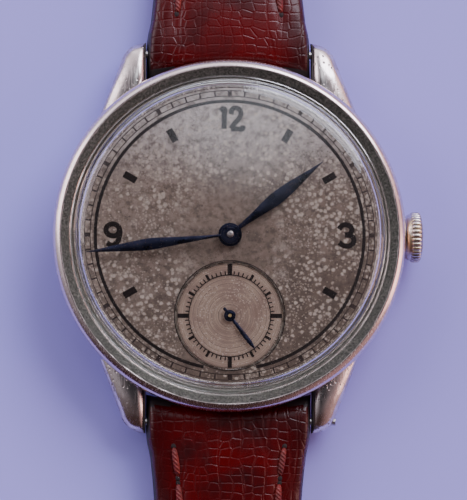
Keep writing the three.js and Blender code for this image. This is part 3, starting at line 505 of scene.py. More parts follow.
CAD_FINISHES = {
    "plain_steel": STEEL,
    "polished_steel": POLISHED,
    "blued_steel": BLUED,
    "brass": BRASS,
    "nickel_plate": NICKEL,
    "acrylic": ACRYLIC,
    "dial_paint": DIAL_LACQUER,
    "seconds_paint": SECONDS_LACQUER,
    "strap_leather": LEATHER,
    "lining_leather": LINING,
    "gasket": RUBBER,
}
for part in frame["record"]["subparts"]:
    mesh = frame["nodes"][part["node"]].data
    mesh.materials.clear()
    mesh.materials.append(CAD_FINISHES[part["material_slot"]])


# ---- Shaping ----
def swept(around, along, at, closed=True):
    """A grid bent to at(u, v), with u along the piece and v across or around it, its open ends filled."""
    bm = bmesh.new()
    bmesh.ops.create_grid(bm, x_segments=along, y_segments=around, size=0.5)
    for vert in bm.verts:
        vert.co = at(vert.co.x + 0.5, vert.co.y + 0.5)
    bmesh.ops.remove_doubles(bm, verts=bm.verts, dist=WELD)
    edges = [edge for edge in bm.edges if edge.is_boundary]
    if closed and edges:
        bmesh.ops.holes_fill(bm, edges=edges, sides=0)
    bmesh.ops.recalc_face_normals(bm, faces=bm.faces)
    return bm


def spun(profile, steps=160, centre=(0.0, 0.0)):
    """A closed profile of (radius, height) turned round an upright through a centre."""
    bm = bmesh.new()
    verts = [bm.verts.new((r, 0.0, z)) for r, z in profile]
    edges = [bm.edges.new(pair) for pair in zip(verts, verts[1:] + verts[:1])]
    bmesh.ops.spin(bm, geom=verts + edges, cent=(0, 0, 0), axis=(0, 0, 1), dvec=(0, 0, 0), angle=2 * pi,
                   steps=steps, use_merge=True)
    bmesh.ops.remove_doubles(bm, verts=bm.verts, dist=WELD)
    moved(bm, (*centre, 0))
    bmesh.ops.recalc_face_normals(bm, faces=bm.faces)
    return bm


def moved(bm, by):
    bmesh.ops.translate(bm, vec=by, verts=bm.verts)
    return bm


def turned(bm, angle, axis, centre=(0, 0, 0)):
    bmesh.ops.rotate(bm, cent=centre, matrix=Matrix.Rotation(angle, 3, axis), verts=bm.verts)
    return bm


def block(size, centre):
    """A box of this size round a centre."""
    bm = bmesh.new()
    bmesh.ops.create_cube(bm, size=1.0)
    bmesh.ops.scale(bm, vec=size, verts=bm.verts)
    return moved(bm, centre)


def bend(start, corner, end, steps):
    """Points on the curve from start to end that rounds off a corner."""
    shares = [step / steps for step in range(steps + 1)]
    return [start * (1 - t) ** 2 + corner * 2 * t * (1 - t) + end * t * t for t in shares]


def softened(points, radius, steps=4):
    """A closed outline with each corner rounded off."""
    out = []
    for i, corner in enumerate(points):
        here, before, after = Vector(corner), Vector(points[i - 1]), Vector(points[(i + 1) % len(points)])
        back, on = before - here, after - here
        start = here + back.normalized() * min(radius, back.length * 0.45)
        end = here + on.normalized() * min(radius, on.length * 0.45)
        out += [tuple(point) for point in bend(start, here, end, steps)]
    return out


def smooth_value(stations, s):
    """A value read from (distance, value) stations, eased through them."""
    if s <= stations[0][0]:
        return stations[0][1]
    for i in range(len(stations) - 1):
        (s0, a), (s1, b) = stations[i], stations[i + 1]
        if s <= s1:
            before = stations[max(i - 1, 0)]
            after = stations[min(i + 2, len(stations) - 1)]
            width = s1 - s0
            slope_a = (b - before[1]) / max(s1 - before[0], 1e-9) * width
            slope_b = (after[1] - a) / max(after[0] - s0, 1e-9) * width
            t = (s - s0) / width
            return (
                (2 * t**3 - 3 * t**2 + 1) * a + (t**3 - 2 * t**2 + t) * slope_a
                + (3 * t**2 - 2 * t**3) * b + (t**3 - t**2) * slope_b
            )
    return stations[-1][1]


def share(value, start, end):
    """How far a value has come from start to end, kept between 0 and 1."""
    return min(max((value - start) / (end - start), 0.0), 1.0)


def rounded_power(angle, power):
    """The two coordinates of a rounded square at this angle; a higher power is squarer."""
    c, s = cos(angle), sin(angle)
    return (
        abs(c) ** (2 / power) * (1 if c >= 0 else -1),
        abs(s) ** (2 / power) * (1 if s >= 0 else -1),
    )


def as_mesh(name, shape):
    """A bmesh made into a mesh; the bmesh is used up."""
    mesh = bpy.data.meshes.new(name)
    shape.to_mesh(mesh)
    shape.free()
    return mesh


def linked(name, data):
    """A new object, put in the scene."""
    made = bpy.data.objects.new(name, data)
    bpy.context.scene.collection.objects.link(made)
    return made


def worked_out(made):
    """A mesh of what an object looks like with its curve or modifiers applied."""
    bpy.context.view_layer.update()
    return bpy.data.meshes.new_from_object(made.evaluated_get(bpy.context.evaluated_depsgraph_get()))


def joined(*shapes):
    """Several shapes as one bmesh; the given ones are used up."""
    whole = bmesh.new()
    for shape in shapes:
        mesh = as_mesh("joined", shape)
        whole.from_mesh(mesh)
        bpy.data.meshes.remove(mesh)
    return whole


def mirrored(shape, x=1, y=1):
    """A copy of a shape, mirrored where x or y is -1."""
    copy = shape.copy()
    bmesh.ops.scale(copy, vec=(x, y, 1), verts=copy.verts)
    if x * y < 0:
        bmesh.ops.reverse_faces(copy, faces=copy.faces)
    return copy


def piece(name, shape, body, finishes, nodes=(), sharp=40, pick=None):
    """Turns a bmesh in millimetres into a finished object that rides a body."""
    if pick:
        for face in shape.faces:
            face.material_index = pick(face.calc_center_median())
    bmesh.ops.scale(shape, vec=(MM, MM, MM), verts=shape.verts)
    mesh = as_mesh(name, shape)
    for finish in finishes:
        mesh.materials.append(finish)
    mesh.shade_smooth()
    mesh.set_sharp_from_angle(angle=radians(sharp))
    made = linked(name, mesh)
    if nodes:
        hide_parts(*nodes)
    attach(made, body)
    return made


def drilled(made, cutter):
    """Takes the cutter, a bmesh in millimetres, out of an object's mesh."""
    bmesh.ops.scale(cutter, vec=(MM, MM, MM), verts=cutter.verts)
    tool = linked("cutter", as_mesh("cutter", cutter))
    change = made.modifiers.new("drill", "BOOLEAN")
    change.operation = "DIFFERENCE"
    change.object = tool
    result = worked_out(made)
    made.modifiers.clear()
    made.data = result
    bpy.data.objects.remove(tool)
    return made


def cylinder(radius, start, end, steps=32):
    """A closed cylinder between two points."""
    start, end = Vector(start), Vector(end)
    bm = bmesh.new()
    bmesh.ops.create_cone(bm, cap_ends=True, segments=steps, radius1=radius, radius2=radius,
                          depth=(end - start).length)
    turn = (end - start).to_track_quat("Z", "Y").to_matrix()
    bmesh.ops.rotate(bm, cent=(0, 0, 0), matrix=turn, verts=bm.verts)
    return moved(bm, (start + end) / 2)


# ---- Case ----
DOME_SAG = 1.15
INNER_SAG = 1.2
CRYSTAL_T = 0.85
DOME_EDGE_R = 14.6


def dome(radii, top, sag):
    return [(r, top - sag * (r / DOME_EDGE_R) ** 2) for r in radii]


def make_crystal():
    outer = dome((14.3, 13, 11.5, 10, 8.5, 7, 5.5, 4, 2.5, 1.2, 0), CRYSTAL_TOP, DOME_SAG)
    inner = dome((0, 1.5, 3, 4.5, 6, 7.5, 9, 10.5, 12, 13.2, 14.2), CRYSTAL_TOP - CRYSTAL_T, INNER_SAG)
    well = [(14.6, 8.0), (14.9, 7.9), (15.08, 7.75)]
    foot = [(15.2, 7.5), (15.5, CRYSTAL_FOOT), (CRYSTAL_R, CRYSTAL_FOOT)]
    shoulder = [(16.4, 5.95), (15.6, 8.38), (15.5, 8.56), (15.36, 8.69), (15.18, 8.79), (14.9, 8.88),
                (14.6, 8.95)]
    shape = spun(outer + inner + well + foot + shoulder, 192)
    piece("crystal_dome", shape, "case", [ACRYLIC], ["crystal"], sharp=50)


def make_bezel():
    profile = softened(
        [(16.15, 4.75), (17.6, 4.75), (BEZEL_R, 5.15), (18.0, 5.8), (17.93, 6.12), (17.76, 6.38), (17.5, 6.6),
         (17.24, 6.72), (17.12, 6.66), (16.42, 6.02), (16.42, 5.53), (16.15, 5.53)], 0.1,
    )
    piece("bezel_ring", spun(profile, 192), "case", [BEZEL_STEEL], ["bezel"])


def make_case_back():
    profile = softened(
        [(13.6, 0), (15.6, 0.35), (16.6, 1.1), (16.75, 1.64), (14.93, 1.64), (14.93, 2.28), (14.3, 2.28),
         (14.3, 1.1), (13.8, 0.6)], 0.12, 3,
    )
    shell = spun([(0, 0)] + [p for p in profile if p[0] > 13.4] + [(0, 0.6)], 160)
    piece("case_back_cover", shell, "case", [WORN], ["case_back"])


# Along a lug, against Y: its outer X, its top and its foot.
LUG_ROOT_Y = 12.6
LUG_EDGE = [
    (LUG_ROOT_Y, 13.18), (12.8, 13.1), (15.4, 12.1), (17.9, 11.15), (18.68, 10.87), (19.28, 10.46),
    (19.72, 9.93), (20.0, 9.28), (20.07, 8.9), (20.1, LUG_INNER_X),
]
LUG_TOP = [(12.0, 4.7), (15.4, 4.7), (16.6, 4.66), (17.8, 4.42), (18.8, 4.05), (19.6, 3.5), (20.1, 2.6)]
LUG_FOOT = [(12.0, 1.75), (14.4, 1.75), (15.6, 1.5), (17.2, 1.05), (18.6, 0.98), (19.5, 1.15), (20.1, 1.4)]
BAR_HOLE_R = 0.5
STEM_HOLE_R = 1.17


def lug():
    def at(u, v):
        y = LUG_ROOT_Y + (LUG_TIP_Y - LUG_ROOT_Y) * sin(u * pi / 2) ** 0.9 if u > 0 else LUG_ROOT_Y
        half = (smooth_value(LUG_EDGE, y) - LUG_INNER_X) / 2
        top, foot = smooth_value(LUG_TOP, y), smooth_value(LUG_FOOT, y)
        side, rise = rounded_power(2 * pi * v, 3.0)
        x = LUG_INNER_X + half * (1 + side)
        middle, tall = (top + foot) / 2, (top - foot) / 2
        slope = 0.55 * ((side + 1) / 2) ** 1.6 if rise > 0 else 0.0
        return Vector((x, y, middle + tall * rise * (1 - slope * 0.55)))

    return swept(40, 40, at)


def make_case_body():
    profile = softened(
        [(15, 1.7), (MIDDLE_R, 1.7), (MIDDLE_R, 4.7), (16.1, 4.7), (16.1, 5.5), (15.3, 5.5), (15.3, 5.05),
         (13.4, 5.05), (13.4, 2.35), (15, 2.35)], 0.16, 3,
    )
    first = lug()
    lugs = [mirrored(first, x, y) for x in (1, -1) for y in (1, -1)]
    first.free()
    shape = joined(spun(profile, 160), *lugs)
    body = piece("case_body", shape, "case", [CASE_STEEL], ["case_middle"])
    bars = [cylinder(BAR_HOLE_R, (-14, y, BAR_Z), (14, y, BAR_Z), 24) for y in (BAR_Y, -BAR_Y)]
    drilled(body, joined(*bars, cylinder(STEM_HOLE_R, (12, 0, STEM_Z), (20, 0, STEM_Z))))


# Along the crown: (X, radius, how much of the knurling shows).
CROWN_PROFILE = [
    (18.1, 0.8, 0), (18.1, 1.9, 0), (18.16, 2.12, 0), (18.3, 2.28, 0), (18.5, 2.36, 0), (18.62, 2.4, 0),
    (18.66, 2.42, 0.3), (18.74, 2.54, 1), (18.9, CROWN_R, 1), (19.1, CROWN_R, 1), (19.35, CROWN_R, 1),
    (19.52, 2.55, 1), (19.62, 2.46, 0.8), (19.7, 2.3, 0.25), (19.78, 2.05, 0), (19.86, 1.6, 0),
    (19.92, 1.05, 0), (19.955, 0.5, 0), (19.96, 0.0, 0),
]
FLUTES = 34
FLUTE_DEPTH = 0.14


def make_crown():
    """A smooth skirt towards the case, then a knurled rim and a rounded end."""

    def at(u, v):
        x, r, knurl = CROWN_PROFILE[round(u * (len(CROWN_PROFILE) - 1))]
        r -= knurl * FLUTE_DEPTH * (1 - abs(sin(v * pi * FLUTES)) ** 0.55)
        return Vector((x, r * cos(2 * pi * v), STEM_Z + r * sin(2 * pi * v)))

    shape = swept(FLUTES * 12, len(CROWN_PROFILE) - 1, at)
    piece("crown_knob", shape, "crown", [CROWN_STEEL], ["crown"], sharp=60)


# ---- Dial ----
SECONDS_HOLE_R = 5.5


def disc_with_holes(radius, holes, low, high):
    """A flat disc with round holes of (radius, y), its top at high."""
    bm = bmesh.new()
    for r, y, steps in [(radius, 0.0, 192)] + [(r, y, 128) for r, y in holes]:
        bmesh.ops.create_circle(bm, segments=steps, radius=r, matrix=Matrix.Translation((0, y, high)))
    bmesh.ops.triangle_fill(bm, use_beauty=True, edges=bm.edges)
    below = bmesh.ops.extrude_face_region(bm, geom=bm.faces[:])["geom"]
    moved = [item for item in below if isinstance(item, bmesh.types.BMVert)]
    bmesh.ops.translate(bm, vec=(0, 0, low - high), verts=moved)
    bmesh.ops.recalc_face_normals(bm, faces=bm.faces)
    return bm


def flat_ring(r_inner, r_outer, low, high, centre=(0.0, 0.0), steps=192):
    return spun([(r_inner, low), (r_outer, low), (r_outer, high), (r_inner, high)], steps, centre)


def bar_at(angle, r_inner, r_outer, width, low, high, centre=(0.0, 0.0)):
    """A small printed bar that points out from a centre, at an angle clockwise from 12."""
    shape = block((width, r_outer - r_inner, high - low), (0, (r_inner + r_outer) / 2, (low + high) / 2))
    return moved(turned(shape, -radians(angle), "Z"), (*centre, 0))


PRINT_T = 0.02
PRINT_LOW = DIAL_TOP
PRINT_HIGH = DIAL_TOP + PRINT_T


def clear_of_seconds(bm, margin=0.12):
    """Takes away what would be printed over the sunk dial."""
    gone = [v for v in bm.verts if hypot(v.co.x, v.co.y - SECONDS_Y) < SECONDS_HOLE_R + margin]
    bmesh.ops.delete(bm, geom=gone, context="VERTS")
    return bm


def stroked(points, width, low, high):
    """A pen stroke through points: a smooth curve given a flat broad line, as a bmesh."""
    curve = bpy.data.curves.new("stroke", "CURVE")
    curve.dimensions = "3D"
    curve.bevel_depth = width / 2
    curve.bevel_resolution = 3
    curve.resolution_u = 10
    curve.use_fill_caps = True
    line = curve.splines.new("BEZIER")
    line.bezier_points.add(len(points) - 1)
    for spot, (x, y) in zip(line.bezier_points, points):
        spot.co = (x, y, 0)
        spot.handle_left_type = spot.handle_right_type = "AUTO"
    holder = linked("stroke", curve)
    mesh = worked_out(holder)
    bpy.data.objects.remove(holder)
    bm = bmesh.new()
    bm.from_mesh(mesh)
    bpy.data.meshes.remove(mesh)
    bmesh.ops.scale(bm, vec=(1, 1, (high - low) / width), verts=bm.verts)
    return moved(bm, (0, 0, (low + high) / 2))


NUMERAL_STROKE = 0.52
TWELVE = [
    [(-0.95, 0.72), (-0.62, 1.0), (-0.58, 0.2), (-0.58, -1.07)],
    [(0.12, 0.42), (0.25, 0.92), (0.72, 1.06), (1.12, 0.68), (0.95, 0.05), (0.42, -0.6), (0.1, -1.05)],
    [(0.1, -1.07), (0.75, -1.06), (1.3, -1.04), (1.34, -0.7)],
]
THREE = [
    [(-0.72, 0.62), (-0.45, 0.98), (0.1, 1.06), (0.55, 0.7), (0.4, 0.2), (-0.12, 0.04)],
    [(-0.12, 0.04), (0.5, -0.05), (0.78, -0.52), (0.45, -1.0), (-0.2, -1.07), (-0.72, -0.72)],
]
NINE = [
    [(0.66, 0.45), (0.4, 0.0), (-0.15, -0.1), (-0.62, 0.2), (-0.66, 0.72), (-0.2, 1.06), (0.35, 0.98),
     (0.68, 0.5), (0.66, -0.1), (0.42, -0.75), (-0.1, -1.08), (-0.62, -0.85)],
]
NUMERAL_OUT = 11.85
TRACK_INNER, TRACK_OUTER = 14.24, 14.88


def numeral(strokes, x, y):
    sink = 0.01
    marks = (stroked(points, NUMERAL_STROKE, PRINT_LOW - sink, PRINT_HIGH) for points in strokes)
    return [moved(mark, (x, y, 0)) for mark in marks]


def make_dial():
    face = disc_with_holes(DIAL_R, [(1.0, 0.0), (SECONDS_HOLE_R, SECONDS_Y)], DIAL_UNDER, DIAL_TOP)
    piece("dial_face", face, "case", [DIAL_LACQUER], ["dial"])
    bold = [flat_ring(13.5, 13.86, PRINT_LOW, PRINT_HIGH), *numeral(TWELVE, 0.0, 11.9)]
    bold += numeral(THREE, NUMERAL_OUT, 0.0) + numeral(NINE, -NUMERAL_OUT, 0.0)
    fine = [flat_ring(r - 0.05, r + 0.05, PRINT_LOW, PRINT_HIGH) for r in (TRACK_INNER, TRACK_OUTER)]
    for minute in range(60):
        width = 0.43 if minute % 5 == 0 else 0.17
        fine.append(bar_at(minute * 6, TRACK_INNER, TRACK_OUTER, width, PRINT_LOW, PRINT_HIGH))
    for hour in (1, 2, 4, 5, 7, 8, 10, 11):
        bold.append(bar_at(hour * 30, 11.0, 12.4, 0.7, PRINT_LOW, PRINT_HIGH))
    rim = flat_ring(SECONDS_HOLE_R + 0.06, SECONDS_HOLE_R + 0.15, PRINT_LOW, PRINT_HIGH + 0.004,
                    (0, SECONDS_Y))
    bold_print = joined(clear_of_seconds(joined(*bold)), rim)
    piece("dial_print", bold_print, "case", [PRINT_INK])
    piece("minute_track_print", clear_of_seconds(joined(*fine)), "case", [FINE_INK])


def make_seconds_dial():
    low, high, centre = SUNK_LOW[2], SUNK_HIGH[2], (0, SECONDS_Y)
    face = spun([(0.45, low), (SUNK_R, low), (SUNK_R, high), (0.45, high)], 128, centre)
    piece("seconds_face", face, "case", [SECONDS_LACQUER], ["seconds_dial"])
    print_top = high + PRINT_T
    marks = [flat_ring(a, b, high, print_top, centre, 128) for a, b in ((4.1, 4.2), (5.27, 5.32))]
    for second in range(60):
        if second % 15 == 0:
            outer, width = 5.3, 0.44
        elif second % 5 == 0:
            outer, width = 4.8, 0.28
        else:
            outer, width = 4.55, 0.12
        marks.append(bar_at(second * 6, 4.15, outer, width, high, print_top, centre))
    piece("seconds_print", joined(*marks), "case", [PRINT_INK])


# ---- Hands ----
# The hands as they stand in the pose at rest, in degrees clockwise from 12, and each leaf's width along it.
HAND_ANGLES = {"hour_hand": 51.7, "minute_hand": 262.8, "seconds_hand": 143.0}
HOUR_LEAF = [
    (0, 0.4), (1.2, 0.42), (3.1, 0.76), (4.5, 1.1), (5.9, 1.37), (8.1, 1.11), (10, 0.57), (12, 0.06),
]
MINUTE_LEAF = [
    (0, 0.28), (1.6, 0.28), (4.1, 0.6), (6.2, 0.93), (8.2, 1.2), (10.2, 0.92), (11.8, 0.64), (13.3, 0.33),
    (14.8, 0.06),
]
SECONDS_LEAF = [(-1, 0.3), (0.5, 0.3), (3.3, 0.45), (4.25, 0.06)]


def make_hand(node, body, leaf, hub_radii, pivot_y):
    """A leaf hand: a blade with a low ridge, and a stepped hub round its arbor."""
    low, high = box_mm(node)[0][2], box_mm(node)[1][2]
    top = high - 0.04
    start, end = leaf[0][0], leaf[-1][0]

    def at(u, v):
        along = start + (end - start) * u
        half = smooth_value(leaf, along) / 2
        side, rise = cos(2 * pi * v), sin(2 * pi * v)
        lift = rise * (1 - 0.35 * abs(side))
        return Vector((half * side, along, (low + top) / 2 + (top - low) / 2 * lift))

    blade = swept(16, 48, at)
    outer, inner, bore = hub_radii
    profile = softened(
        [(bore, low), (outer, low), (outer, top), (inner, top), (inner, high), (bore, high)], 0.03, 3,
    )
    shape = turned(joined(blade, spun(profile, 64)), -radians(HAND_ANGLES[node]), "Z")
    piece(node + "_leaf", moved(shape, (0, pivot_y, 0)), body, [BLUED], [node], sharp=30)


def make_hands():
    make_hand("hour_hand", "hour", HOUR_LEAF, (1.2, 0.95, 0.55), 0.0)
    make_hand("minute_hand", "minute", MINUTE_LEAF, (0.95, 0.7, 0.3), 0.0)
    make_hand("seconds_hand", "seconds", SECONDS_LEAF, (0.6, 0.42, 0.12), SECONDS_Y)
    pin = spun([(0, 6.7), (0.34, 6.7), (0.34, 6.98), (0.28, 7.05), (0.15, 7.08), (0, 7.085)], 32)
    piece("centre_pin_cap", pin, "minute", [DARK_STEEL])


# ---- Strap ----
LINING_START = 3.5
LINING_T = 0.6
LOOP_R = 1.75
END_HOLLOW = 1.0
STITCH_PITCH = 3.72
STITCH_LENGTH = 3.25
STITCH_IN = 2.6
THREAD_R = 0.34
LOOP_SHARE = 0.06  # of the leather's length, the part that goes round the spring bar
TOP_SHARE = 0.7  # of the leather's girth, the part on its top face


class StrapHalf:
    """One half of the strap. s is the distance out from its spring bar; side is 1 at 12 and -1 at 6."""

    def __init__(self, side, length, lift, pointed):
        self.side, self.length, self.lift, self.pointed = side, length, lift, pointed
        self.widths = [(-2.5, 8.45), (1, 8.44), (2.2, 8.3), (3.6, 8.0), (9, 7.55), (40, 7.0)]
        if pointed:
            self.widths += [(length - 12, 7.0), (length - 9, 6.95), (length - 6, 6.1), (length - 3, 4.4),
                            (length - 1, 2.4), (length, 0.9)]
        else:
            self.widths += [(length + 1.2, 7.0)]
        self.tops = [(0, 4.3), (2.5, 4.3), (5, 4.2), (13, 3.4), (24, 2.5), (length - 31, 2.5),
                     (length - 24, lift + 2.3), (length, lift + 2.3)]
        self.under = [(0, 0.9), (3.2, 0.62), (9, 0.02), (length - 30, 0.0), (length - 24, lift),
                      (length, lift)]

    def half(self, s):
        return smooth_value(self.widths, s)

    def floor(self, s):
        return smooth_value(self.under, s)

    def foot(self, s):
        """The underside of the top leather."""
        if s < 0:
            return BAR_Z - sqrt(max(LOOP_R**2 - s * s, 0.0))
        return self.floor(s) + LINING_T * share(s, 3.2, 3.7)

    def crown(self, s):
        """The top of the padding, on the strap's centre line."""
        if s < 0:
            return BAR_Z + sqrt(max(LOOP_R**2 - s * s, 0.0)) * 0.97
        return smooth_value(self.tops, s)

    def surface(self, s, x):
        """The height of the top face."""
        half, foot = self.half(s), self.foot(s)
        ratio = min(abs(x) / max(half, 1e-6), 1.0)
        thick = self.crown(s) - foot
        padding = (0.06 + 0.26 * share(s, 1, 7)) * thick * ratio**2.6
        line = half - min(STITCH_IN, half * 0.6)
        groove = 0.16 * share(s, 1.5, 3.5) * exp(-(((abs(x) - line) / 0.55) ** 2))
        rounding = (1 - ratio**44) ** 0.5
        return foot + max(thick - padding - groove, 0.0) * rounding

    def end(self):
        return self.length if self.pointed else self.length + 1.1

    def shape(self):
        last = self.end()

        def at(u, v):
            if u < LOOP_SHARE:
                s = -LOOP_R * cos(u / LOOP_SHARE * pi / 2)
            else:
                s = (u - LOOP_SHARE) / (1 - LOOP_SHARE) * last
            half = self.half(s)
            if v <= TOP_SHARE:
                x = half * cos(pi * v / TOP_SHARE)
                z = self.surface(s, x)
            else:
                x = -half * cos(pi * (v - TOP_SHARE) / (1 - TOP_SHARE))
                z = self.foot(s)
            hollow = END_HOLLOW * (x / half) ** 2 * share(s, LOOP_R, -LOOP_R)
            return Vector((x, self.side * (BAR_Y + s - hollow), z))

        return swept(90, round(self.length * 1.7), at)

    def lining_shape(self):
        last = self.length - (1.5 if self.pointed else 5.2)

        def at(u, v):
            s = LINING_START + (last - LINING_START) * u
            half = self.half(s) - 0.15
            side, rise = rounded_power(2 * pi * v, 7)
            middle = self.floor(s) + LINING_T / 2
            return Vector((half * side, self.side * (BAR_Y + s), middle + (LINING_T / 2 - 0.005) * rise))

        return swept(24, round(self.length), at)

    def stitch_places(self):
        """The distance out of each stitch's middle, from the lug end on."""
        s = (4.0 if self.side > 0 else 2.5) + STITCH_LENGTH / 2
        while s < self.end() - (12 if self.pointed else 7):
            yield s
            s += STITCH_PITCH

    def stitches(self):
        threads, holes = [], []
        for s in self.stitch_places():
            for hand in (1, -1):
                ends = []
                for place in (s - STITCH_LENGTH / 2, s + STITCH_LENGTH / 2):
                    x = hand * (self.half(place) - STITCH_IN)
                    ends.append(Vector((x, self.side * (BAR_Y + place), self.surface(place, x))))
                threads.append(self.thread(*ends))
                for spot in ends:
                    holes.append(self.needle_hole_shade(spot))
        return joined(*threads), joined(*holes)

    def thread(self, a, b):
        """One stitch: a soft bar of thread that dips into the leather at both ends."""
        skew = random.uniform(-0.12, 0.12)
        across = (b - a).cross(Vector((0, 0, 1))).normalized()

        def at(u, v):
            bow = sin(pi * u)
            middle = a.lerp(b, 0.04 + 0.92 * u) + across * skew * (u - 0.5)
            plump = THREAD_R * (0.35 + 0.65 * bow**0.35)
            height = plump * 0.75 * sin(2 * pi * v) + 0.17 * bow**0.5 - 0.05
            return middle + across * plump * cos(2 * pi * v) + Vector((0, 0, height))

        return swept(8, 8, at)

    # Painted shade: a near-black blob sunk at each stitch end stands for the shade in the needle hole.
    def needle_hole_shade(self, spot):
        bm = bmesh.new()
        bmesh.ops.create_icosphere(bm, subdivisions=2, radius=0.3)
        bmesh.ops.scale(bm, vec=(1, 1.15, 0.35), verts=bm.verts)
        return moved(bm, spot - Vector((0, 0, 0.035)))


BUCKLE_HALF = StrapHalf(1, BUCKLE_HALF_LENGTH, 0.85, False)
TAIL_HALF = StrapHalf(-1, TAIL_LENGTH, 0.0, True)
TAIL_HOLES = [78 - 6.5 * i for i in range(6)]
TAIL_HOLE_R = 0.9


def leather_side(half):
    """Picks the edge paint for a half's sides and the end round the spring bar."""

    def pick(centre):
        s = abs(centre.y) - BAR_Y
        edge = half.half(max(s, 0.0)) - (0.34 if s < 2 else 0.2)
        return 1 if s < -LOOP_R * 0.9 or abs(centre.x) > edge else 0

    return pick


def make_strap():
    top = piece("buckle_half_leather", BUCKLE_HALF.shape(), "strap_12", [LEATHER, LEATHER_EDGE],
                ["strap_buckle_half"], pick=leather_side(BUCKLE_HALF))
    slot_cut = block((3.0, 8.0, 8.0), (0, BUCKLE_Y + 0.5, 2.0))
    drilled(top, slot_cut)
    piece("buckle_half_lining", BUCKLE_HALF.lining_shape(), "strap_12", [LINING], ["strap_buckle_lining"])
    tail = piece("tail_half_leather", TAIL_HALF.shape(), "strap_6", [LEATHER, LEATHER_EDGE],
                 ["strap_tail_half"], pick=leather_side(TAIL_HALF))

    def punches():
        return joined(*(cylinder(TAIL_HOLE_R, (0, -BAR_Y - s, -1), (0, -BAR_Y - s, 5)) for s in TAIL_HOLES))

    drilled(tail, punches())
    lining = piece("tail_half_lining", TAIL_HALF.lining_shape(), "strap_6", [LINING], ["strap_tail_lining"])
    drilled(lining, punches())
    for half, body, label in ((BUCKLE_HALF, "strap_12", "buckle_half"), (TAIL_HALF, "strap_6", "tail_half")):
        threads, holes = half.stitches()
        piece(label + "_stitches", threads, body, [THREAD], sharp=80)
        piece(label + "_needle_hole_shades", holes, body, [HOLE_SHADE], sharp=80)


def make_keeper(name, node, body):
    """A leather band round the strap."""
    low, high = box_mm(node)
    middle_y, half_y = (low[1] + high[1]) / 2, (high[1] - low[1]) / 2
    thick = 0.8
    half_x, half_z = high[0] - thick / 2, (high[2] - low[2]) / 2 - thick / 2
    middle_z = (low[2] + high[2]) / 2

    def at(u, v):
        side, rise = rounded_power(2 * pi * u, 7)
        middle = Vector((half_x * side, middle_y, middle_z + half_z * rise))
        out = Vector((side * abs(side) ** 5, 0, rise * abs(rise) ** 5)).normalized()
        width, skin = rounded_power(2 * pi * v, 4)
        return middle + out * thick / 2 * skin + Vector((0, half_y * width, 0))

    piece(name, swept(20, 96, at, closed=False), body, [LEATHER, LEATHER_EDGE], [node],
          pick=lambda c: 1 if abs(c.y - middle_y) > half_y * 0.97 else 0)


# ---- Buckle ----
BUCKLE_LEAN = radians(6.1)
BUCKLE_REACH = 9.0
BUCKLE_HALF_X = 8.05
EYE_R, EYE_T, EYE_HALF_X = 0.8, 0.2, 0.68


def lean(shape):
    """Lowers the buckle's far end to the table, about its bar."""
    return turned(shape, -BUCKLE_LEAN, "X", (0, BUCKLE_Y, BUCKLE_Z))


def rounded_path(points, radius, steps=8):
    """An open path of points with its inner corners rounded."""
    out = [Vector(points[0])]
    for before, corner, after in zip(points, points[1:], points[2:]):
        before, corner, after = Vector(before), Vector(corner), Vector(after)
        start = corner + (before - corner).normalized() * radius
        end = corner + (after - corner).normalized() * radius
        out += bend(start, corner, end, steps)
    return out + [Vector(points[-1])]


def rod_along(path, across, tall, around=20):
    """A rounded bar along a path: half width across and half height tall, as functions of u."""
    up, power = Vector((0, 0, 1)), 3.0

    def at(u, v):
        index = round(u * (len(path) - 1))
        ahead = path[min(index + 1, len(path) - 1)] - path[max(index - 1, 0)]
        side = ahead.cross(up).normalized()
        high = side.cross(ahead).normalized()
        a, b = rounded_power(2 * pi * v, power)
        return path[index] + side * a * across(u) + high * b * tall(u)

    return swept(around, len(path) - 1, at)


def make_buckle():
    x, near, far = BUCKLE_HALF_X, BUCKLE_Y - 1.3, BUCKLE_Y + BUCKLE_REACH
    path = rounded_path(
        [(x, near, BUCKLE_Z), (x, far, BUCKLE_Z), (-x, far, BUCKLE_Z), (-x, near, BUCKLE_Z)], 2.2,
    )
    fine = []
    for a, b in zip(path, path[1:]):
        fine += [a.lerp(b, i / 4) for i in range(4)]
    fine.append(path[-1])
    loop = rod_along(fine, lambda u: 0.7 + 0.28 * sin(pi * u) ** 4, lambda u: 0.75 + 0.23 * sin(pi * u) ** 4)
    piece("buckle_loop", lean(loop), "buckle", [POLISHED], ["buckle_frame"])
    tongue_path = [Vector((0, BUCKLE_Y + dy, BUCKLE_Z + dz)) for dy, dz in (
        (-0.4, 0.72), (0.6, 0.78), (1.6, 0.9), (2.8, 1.05), (4.2, 1.25), (5.6, 1.42), (7.0, 1.52), (8.4, 1.5),
        (9.4, 1.38), (10.0, 1.27),
    )]
    needle = rod_along(tongue_path, lambda u: 0.7 - 0.22 * u, lambda u: 0.3 - 0.1 * u)

    def eye_at(u, v):
        wide, thick = rounded_power(2 * pi * v, 4)
        r = EYE_R + EYE_T * thick
        return Vector((EYE_HALF_X * wide, BUCKLE_Y + r * cos(2 * pi * u), BUCKLE_Z + r * sin(2 * pi * u)))

    tongue = lean(joined(needle, swept(24, 48, eye_at, closed=False)))
    piece("tongue_needle", tongue, "buckle_tongue", [POLISHED], ["buckle_tongue"])


# ---- Watch ----
make_case_body()
make_case_back()
make_bezel()
make_crystal()
make_crown()
make_dial()
make_seconds_dial()
make_hands()
make_strap()
make_keeper("fixed_keeper_band", "fixed_keeper", "strap_12")
make_keeper("free_keeper_band", "free_keeper", "free_keeper")
make_buckle()


# ---- Floor, light and camera ----
FLOOR_HALF = 3.0
FLOOR_GAP = 0.0002


def build_paper(place):
    cloud = place.noise(30.0)
    return cloud.mix((0.38, 0.36, 1.0), (0.42, 0.4, 1.0)), cloud.ramp(0.3, 0.7, 0.85, 0.95)


